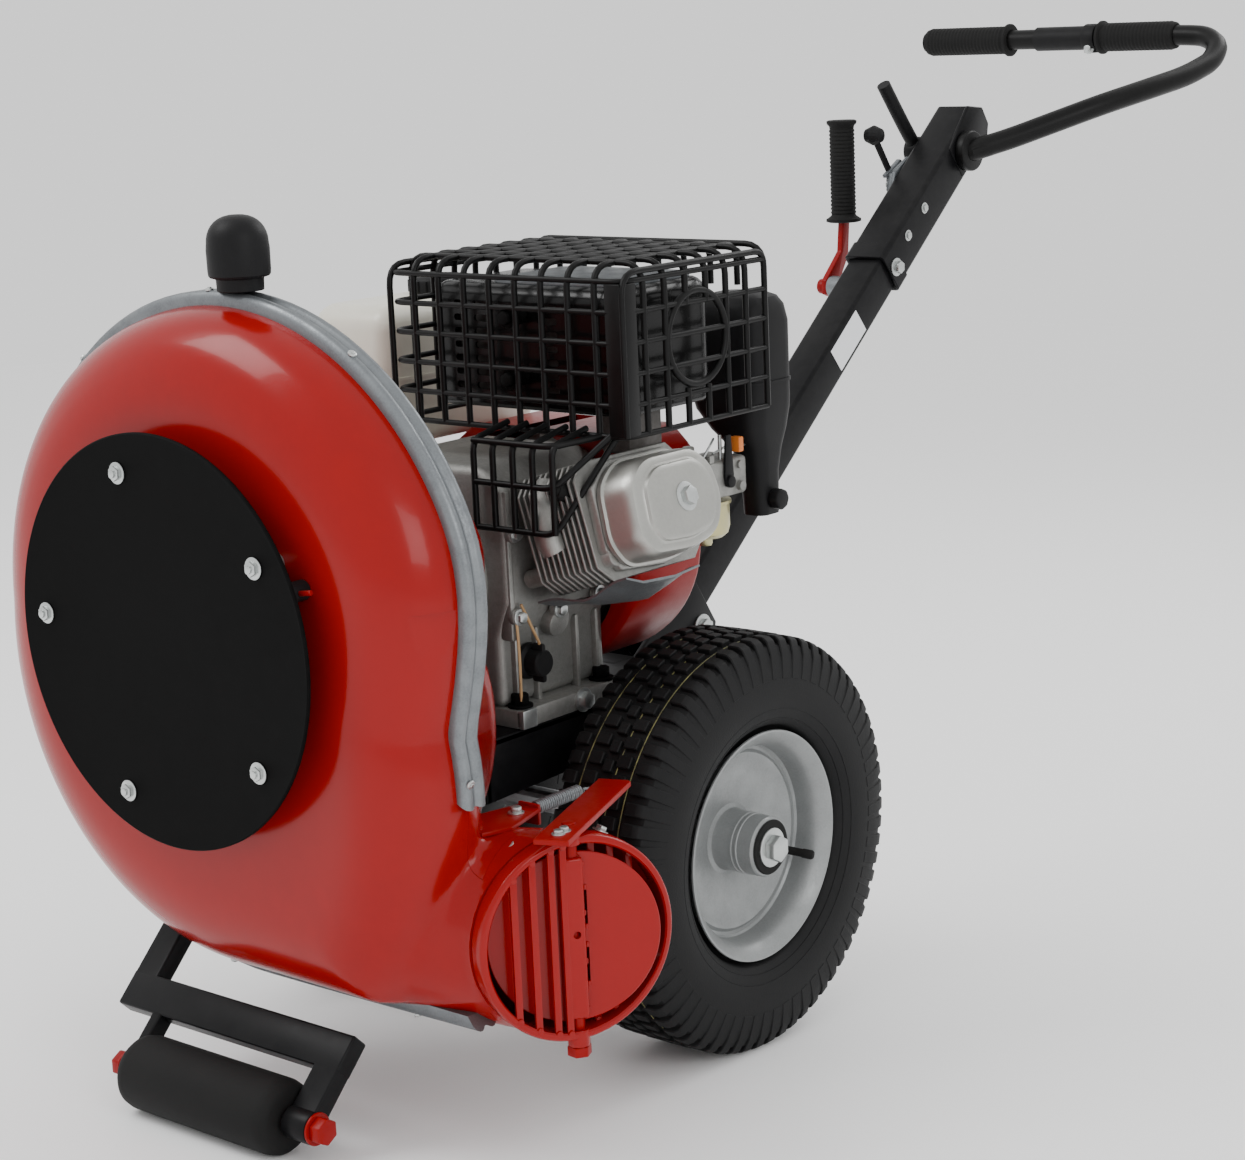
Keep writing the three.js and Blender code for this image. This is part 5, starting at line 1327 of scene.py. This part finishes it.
# ---- deck and column -------------------------------------------------------------------------------------
COLUMN_Y, COLUMN_Z = 655, 545
TUBE_HALF = 22.5
SLEEVE_HALF = 26
PIVOT_Y, PIVOT_Z = 752, 622
CROSSBAR_Y, CROSSBAR_Z = 1070, 744
THROTTLE_Y, THROTTLE_Z = 700, 590
LEVER_Y, LEVER_Z = 616, 470
ROLLER_Y, ROLLER_Z = -503, -140


def on_column(x, s, t):
    """A point s along the column and t square to it, up and ahead."""
    return (x, COLUMN_Y + s * math.cos(COLUMN_TILT) - t * math.sin(COLUMN_TILT),
            COLUMN_Z + s * math.sin(COLUMN_TILT) + t * math.cos(COLUMN_TILT))


def square_tube(half, low, high, corner=4.5, wall=3.0):
    """A square tube along the column, with rounded edges and open ends."""
    def ring(s, h, c):
        made = []
        for cx, ct, start in ((h - c, h - c, 0), (-h + c, h - c, 90), (-h + c, -h + c, 180),
                              (h - c, -h + c, 270)):
            for k in range(5):
                angle = math.radians(start + 22.5 * k)
                made.append(on_column(cx + c * math.cos(angle), s, ct + c * math.sin(angle)))
        return made

    outer = loft([ring(low, half - 0.6, corner), ring(low + 0.6, half, corner),
                  ring(high - 0.6, half, corner), ring(high, half - 0.6, corner)])
    inner = loft([ring(low - 5, half - wall, corner - 2), ring(high + 5, half - wall, corner - 2)])
    return carve(outer, inner)


def deck():
    top = block(-115, 115, -236, 95, 133, 141, 2, 2)
    front = block(-115, 115, -236, -228, 80, 141, 2, 2)
    outline = [(-236, 141), (95, 141), (95, 92), (46, 86), (30, -26), (22, -30), (-22, -30), (-30, -26),
               (-46, 86), (-236, 80)]
    sides = [plate(outline, "x", 107, 115, 1.6), plate(outline, "x", -115, -107, 1.6)]
    for side in sides:
        carve(side, rod((-130, 0, 0), (130, 0, 0), 12.9, 40))
    cheek = [(60, 84), (214, 96), (232, 150), (196, 206), (150, 180), (96, 141), (60, 141)]
    cheeks = [plate(cheek, "x", 23, 29.8, 1.4), plate(cheek, "x", -29.8, -23, 1.4)]
    cross = block(-30, 30, 56, 64, 84, 141, 1.4)
    beads = [tube([(111, -230, 134), (111, 90, 134)], 4, 12),
             tube([(-111, -230, 134), (-111, 90, 134)], 4, 12)]
    piece(joined([top, front, *sides, *cheeks, cross, *beads]), "deck_plates", "frame", BLACK, ["deck"],
          40, None)
    parts = []
    for side in (1, -1):
        for y, z in ((206, 150), (110, 116)):
            parts += hex_bolt((side * 29.9, y, z), (side, 0, 0), 17, 9)
    piece(joined(parts), "cheek_bolts", "frame", ZINC, (), 40, None)


def column():
    lower = square_tube(TUBE_HALF, -660, 36)
    back = block(-FAR, FAR, -FAR, 65, -FAR, FAR)
    carve(lower, back)
    piece(lower, "column_lower_tube", "frame", BLACK, ["column_lower"], 40, None)
    sleeve = square_tube(SLEEVE_HALF, -86, 173, 5.5)
    collar = square_tube(SLEEVE_HALF + 1.6, -86, -62, 6, 4.6)
    head = plate([tuple(on_column(0, s, t)[1:]) for s, t in ((100, -21), (164, -30), (184, -12),
                                                             (186, 12), (164, 34), (100, 23))], "x",
                 SLEEVE_HALF - 4, SLEEVE_HALF + 1, 1.4)
    parts = [sleeve, collar, head]
    piece(joined(parts), "column_sleeve", "column_top", BLACK, ["column_upper"], 40, None)
    hardware = []
    for side in (1, -1):
        hardware += hex_bolt(on_column(side * (SLEEVE_HALF + 1.7), -74, 0), (side, 0, 0), 13, 8)
    for s in (16, -30):
        hardware += hex_bolt(on_column(SLEEVE_HALF + 0.1, s, 8), (1, 0, 0), 8, 3)
    piece(joined(hardware), "sleeve_bolts", "column_top", ZINC, (), 40, None)
    u0, u1, t0, t1 = -226, -160, -16, 16
    corners = [on_column(0, s, t)[1:] for s, t in ((u0, t0), (u1, t0), (u1, t1), (u0, t1))]
    label = plate([tuple(c) for c in corners], "x", TUBE_HALF + 0.05, TUBE_HALF + 0.5, 0.15, 1)
    piece(label, "plain_column_label", "frame", LABEL, (), 40, None)


# ---- fork and roller --------------------------------------------------------------------------------------
def inclined(s, t):
    return ROLLER_Y + (s - t) / math.sqrt(2), ROLLER_Z + (s + t) / math.sqrt(2)


def fork():
    def arm(x0, x1, low, high, half=9.6, bevel=2.4):
        corners = [inclined(low, -half), inclined(high, -half), inclined(high, half), inclined(low, half)]
        return plate(corners, "x", x0, x1, bevel, 3)

    body = arm(-157.8, 139.8, 51.2, 86.8, 9.8)
    carve(body, arm(-157.4, -126.4, 69, 332), mode="UNION")
    carve(body, arm(109.4, 139.4, -12, 69), mode="UNION")
    carve(body, arm(-108.8, -97.2, -12, 69), mode="UNION")
    carve(body, rod((109.6, ROLLER_Y, ROLLER_Z), (139.7, ROLLER_Y, ROLLER_Z), 15, 40, 2), mode="UNION")
    carve(body, rod((-109, ROLLER_Y, ROLLER_Z), (-97, ROLLER_Y, ROLLER_Z), 15, 40, 2), mode="UNION")
    carve(body, block(-157.6, -100.2, -270, -236.6, 85.4, 108.8, 2), mode="UNION")
    piece(body, "roller_fork_arms", "frame", BLACK, ["roller_fork"], 40, None)
    nuts = [rod((-112.4, ROLLER_Y, ROLLER_Z), (143.6, ROLLER_Y, ROLLER_Z), 8, 32, 1)]
    for at, way in ((140.3, 1), (-109.3, -1)):
        nuts.append(rod((at, ROLLER_Y, ROLLER_Z), (at + way * 2.4, ROLLER_Y, ROLLER_Z), 15, 36, 0.8))
        nuts += hex_bolt((at + way * 2.4, ROLLER_Y, ROLLER_Z), (way, 0, 0), 22, 12, washer=False)
    piece(joined(nuts), "roller_axle_nuts", "frame", RED_FLAT, ["roller_axle"], 40, None)
    profile = [(8.7, -99.4), (25, -100), (30, -98.5), (33.5, -94), (35, -87)]
    profile += [(35, 87), (33.5, 94), (30, 98.5), (25, 100), (8.7, 99.4)]
    roller = spun(profile, "x", (6, ROLLER_Y, ROLLER_Z), 64)
    piece(roller, "front_roller", "roller_body", RUBBER, ["roller"], 40, None)


# ---- handlebar and grips ----------------------------------------------------------------------------------
BAR = [(35, PIVOT_Y, PIVOT_Z), (70, 782, 634), (112, 818, 652), (150, 857, 669), (180, 916, 684),
       (200, 980, 697), (208, 1030, 712), (203, 1058, 730), (180, 1070, 742), (150, CROSSBAR_Y, CROSSBAR_Z)]


def handlebar():
    bar = bent([*BAR, (-231, CROSSBAR_Y, CROSSBAR_Z)], 12.9, 34, 24)
    shoulder = tube([(32, PIVOT_Y, PIVOT_Z), (35, PIVOT_Y, PIVOT_Z), (52, 767, 628)], 13.4, 24)
    boss = rod((27.2, PIVOT_Y, PIVOT_Z), (38.8, PIVOT_Y, PIVOT_Z), 24, 48, 2)
    piece(joined([bar, shoulder, boss]), "handlebar_tube", "handlebar_body", GUARD_BLACK, ["handlebar"],
          50, None)
    cuff = tube([(24, CROSSBAR_Y, CROSSBAR_Z), (-60, CROSSBAR_Y, CROSSBAR_Z)], 15.4, 32)
    ring_ = rod((29, CROSSBAR_Y, CROSSBAR_Z), (11, CROSSBAR_Y, CROSSBAR_Z), 17.6, 32, 1.5)
    lug = block(12, 28, 1060, 1080, 725, 760, 2)
    piece(joined([cuff, ring_, lug]), "crossbar_cable_clamp", "handlebar_body", PLASTIC, (), 40, None)
    screw = hex_bolt((20, 1060, 731), (0, -1, 0), 9, 5)
    piece(joined(screw), "crossbar_clamp_screw", "handlebar_body", ZINC, (), 40, None)


def grip(name, x0, x1, replaces):
    """A ribbed rubber grip with a flange at its inner end (x0)."""
    way = 1 if x1 > x0 else -1
    length = abs(x1 - x0)
    profile = [(13.3, 0.2), (20, 0.2), (21, 1.2), (21, 4), (19.4, 5), (17.2, 6)]
    s = 9.0
    while s < length - 9:
        profile += [(17.2, s), (18, s + 1), (18, s + 3), (17.2, s + 4)]
        s += 5.2
    profile += [(17.2, length - 5), (16.4, length - 1.5), (14, length - 0.2), (13.3, length - 0.2)]
    body = spun([(r, way * s) for r, s in profile], "x", (x0, CROSSBAR_Y, CROSSBAR_Z), 40)
    piece(body, name, "handlebar_body", RUBBER, [replaces], 40, None)


def clamp_lever():
    hub = spun_open([(0, -53), (13, -53), (16, -51), (17, -46), (17, -34), (15, -30), (13, -27.3),
                     (0, -27.3)], "x", (0, PIVOT_Y, PIVOT_Z), 40)
    pin = rod((-31, PIVOT_Y, PIVOT_Z), (26, PIVOT_Y, PIVOT_Z), 5.8, 24, 1)

    def at(p):
        return (p[0], PIVOT_Y + p[1], PIVOT_Z + p[2])

    arm = tube([at((-41, -4, 4)), at((-43, -20, 24)), at((-45, -34, 44)), at((-48.5, -60, 82))], 8.4, 20,
               True)
    piece(joined([hub, pin, arm]), "column_clamp_lever", "clamp_lever_body", PLASTIC, ["clamp_lever"], 40,
          None)


def throttle():
    def at(points):
        return [(THROTTLE_Y + y, THROTTLE_Z + z) for y, z in points]

    plates = [plate(at([(-26, -14), (-8, -24), (24, 4), (26, 20), (10, 28), (-20, 12)]), "x", -31, -26.4, 1),
              plate(at([(-21, -11), (-6, -19), (19, 3), (8, 22), (-16, 10)]), "x", -40, -30, 2)]
    rim_ = plate(at([(-22, 8), (10, 25), (24, 17), (22, 12), (9, 19), (-19, 4)]), "x", -44, -38, 1)
    piece(joined([*plates, rim_]), "throttle_mount_plate", "column_top", GALVANISED, ["throttle_bracket"],
          40, None)
    screws = hex_bolt((-40, 706, 594), (-1, 0, 0), 9, 4) + hex_bolt((-40, 690, 586), (-1, 0, 0), 9, 4)
    piece(joined(screws), "throttle_screws", "column_top", ZINC, (), 40, None)
    scale = plate(at([(-14, 0), (6, 15), (14, 8), (-5, -9)]), "x", -40.6, -40.1, 0.15, 1)
    piece(scale, "plain_throttle_scale", "column_top", GREEN, (), 40, None)


def flap_lever():
    def at(y, z):
        return (LEVER_Y + y, LEVER_Z + z)

    outline = [at(-10, -8), at(0, -12), at(10, -8), at(38, 34), at(42, 74), at(42, 176), at(28, 176),
               at(28, 74), at(24, 40), at(-10, 8)]
    bar = plate(outline, "x", -85.8, -78.2, 1.2, 2)
    bosses = [rod((-92, LEVER_Y, LEVER_Z), (-28, LEVER_Y, LEVER_Z), 5, 20),
              rod((-93.8, LEVER_Y, LEVER_Z), (-85, LEVER_Y, LEVER_Z), 9, 28, 1.5)]
    piece(joined([bar, *bosses]), "flap_lever_bar", "flap_lever_body", RED_FLAT, ["flap_lever"], 40, None)
    profile = [(0, -107), (18, -107), (21, -106), (21, -103), (19, -102), (15, -99)]
    z = -97.0
    while z < 0:
        profile += [(14.4, z), (15.2, z + 0.9), (15.2, z + 2.6), (14.4, z + 3.5)]
        z += 4.6
    profile += [(15, 7), (17.4, 9.4), (18, 11), (18, 13), (16, 14), (0, 14)]
    body = spun_open(profile, "z", (-82, 651, 651), 40)
    slot_ = block(-86.2, -77.8, 643.6, 658.4, 540, 647.2, 0.4, 1)
    carve(body, slot_)
    piece(body, "flap_lever_rubber_grip", "flap_lever_body", RUBBER, ["flap_lever_grip"], 40, None)
    lug = plate([at(-22, -20), at(20, -22), at(62, 22), at(34, 48), at(-24, 22)], "x", -31, -26.4, 1.2)
    boss = rod((-77.7, LEVER_Y, LEVER_Z), (-30, LEVER_Y, LEVER_Z), 13, 32, 1.5)
    for part in (lug, boss):
        carve(part, rod((-95, LEVER_Y, LEVER_Z), (-20, LEVER_Y, LEVER_Z), 5.3, 24))
    piece(joined([lug, boss]), "flap_lever_lug", "column_top", GALVANISED, ["flap_lever_bracket"], 40,
          None)
    bolts = hex_bolt((-31, LEVER_Y + 36, LEVER_Z + 18), (-1, 0, 0), 11, 5)
    bolts += hex_bolt((-31, LEVER_Y - 14, LEVER_Z + 12), (-1, 0, 0), 11, 5)
    piece(joined(bolts), "flap_lug_bolts", "column_top", ZINC, (), 40, None)


deck()
column()
fork()
handlebar()
grip("right_hand_grip", 32.2, 139.8, "grip_right")
grip("left_hand_grip", -100.2, -227.8, "grip_left")
clamp_lever()
throttle()
flap_lever()


# ---- finishes of the carried-over nodes -------------------------------------------------------------------
NODE_FINISH = {
    RED: ["fan_housing_front", "fan_housing_back", "outlet_grille", "outlet_flap"],
    RED_FLAT: ["flap_arm", "flap_bracket", "flap_rod", "fan_shroud", "recoil_cover", "flap_lever",
               "roller_axle", "engine_switch"],
    BLACK: ["deck", "column_lower", "column_upper", "roller_fork", "handlebar", "impeller", "muffler"],
    GUARD_BLACK: ["muffler_guard"],
    DISC_BLACK: ["intake_cover"],
    PLASTIC: ["lifting_knob", "spark_plug_cap", "air_cleaner", "fuel_cap", "recoil_grip", "dipstick",
              "clamp_lever", "throttle_lever", "choke_lever"],
    RUBBER: ["roller", "grip_left", "grip_right", "flap_lever_grip"],
    TYRE: ["tyre_left", "tyre_right"],
    ZINC: ["wheel_nut_left", "wheel_nut_right", "impeller_bolt", "throttle_bracket", "flap_lever_bracket",
           "flap_spring", *(f"intake_bolt_{i}" for i in range(1, 6))],
    GALVANISED: ["housing_rim_trim"],
    SILVER: ["rim_left", "rim_right"],
    CAST: ["crankcase", "crankcase_cover", "cylinder", "rocker_cover", "carburettor", "flywheel"],
    STEEL: ["axle", "crankshaft"],
    CREAM: ["fuel_tank"],
}
for material, names in NODE_FINISH.items():
    for name in names:
        data = NODES[name].data
        data.materials.clear()
        data.materials.append(material)


# ---- floor, light and camera ------------------------------------------------------------------------------
def studio():
    fresh()
    bpy.ops.mesh.primitive_plane_add(size=14, location=(0, 2.4, 0))
    floor = bpy.context.object
    floor.name = "studio_floor"
    sweep = bpy.data.materials.new("pale_floor")
    sweep.use_nodes = True
    shader = sweep.node_tree.nodes["Principled BSDF"]
    shader.inputs["Base Color"].default_value = (1, 1, 1, 1)
    shader.inputs["Roughness"].default_value = 0.6
    floor.data.materials.append(sweep)
    world = bpy.data.worlds.new("soft_studio")
    world.use_nodes = True
    world.node_tree.nodes["Background"].inputs["Color"].default_value = (1, 1, 1, 1)
    world.node_tree.nodes["Background"].inputs["Strength"].default_value = 1.15
    bpy.context.scene.world = world
    for name, place, aim, size, power in [
            ("key", (-1.6, -2.2, 3.4), (0, -0.1, 0.3), 1.8, 75),
            ("fill", (3.2, -1.4, 1.8), (0, 0, 0.4), 1.6, 30),
            ("rim", (0.6, 3.0, 3.0), (0, 0, 0.5), 1.6, 40)]:
        lamp = bpy.data.lights.new(name, "AREA")
        lamp.size = size
        lamp.energy = power
        holder = bpy.data.objects.new(name, lamp)
        bpy.context.collection.objects.link(holder)
        holder.location = place
        holder.rotation_euler = (Vector(aim) - Vector(place)).to_track_quat("-Z", "Y").to_euler()


def camera():
    eye = MACHINE @ Vector((1.7313, -1.9430, 0.8061))
    target = MACHINE @ Vector((0.0807, 0.0157, 0.2443))
    lens = bpy.data.cameras.new("camera")
    lens.lens = 75.28
    lens.sensor_width = 36
    lens.sensor_fit = "HORIZONTAL"
    holder = bpy.data.objects.new("camera", lens)
    bpy.context.collection.objects.link(holder)
    holder.location = eye
    holder.rotation_euler = (target - eye).to_track_quat("-Z", "Y").to_euler()
    bpy.context.scene.camera = holder


studio()
camera()
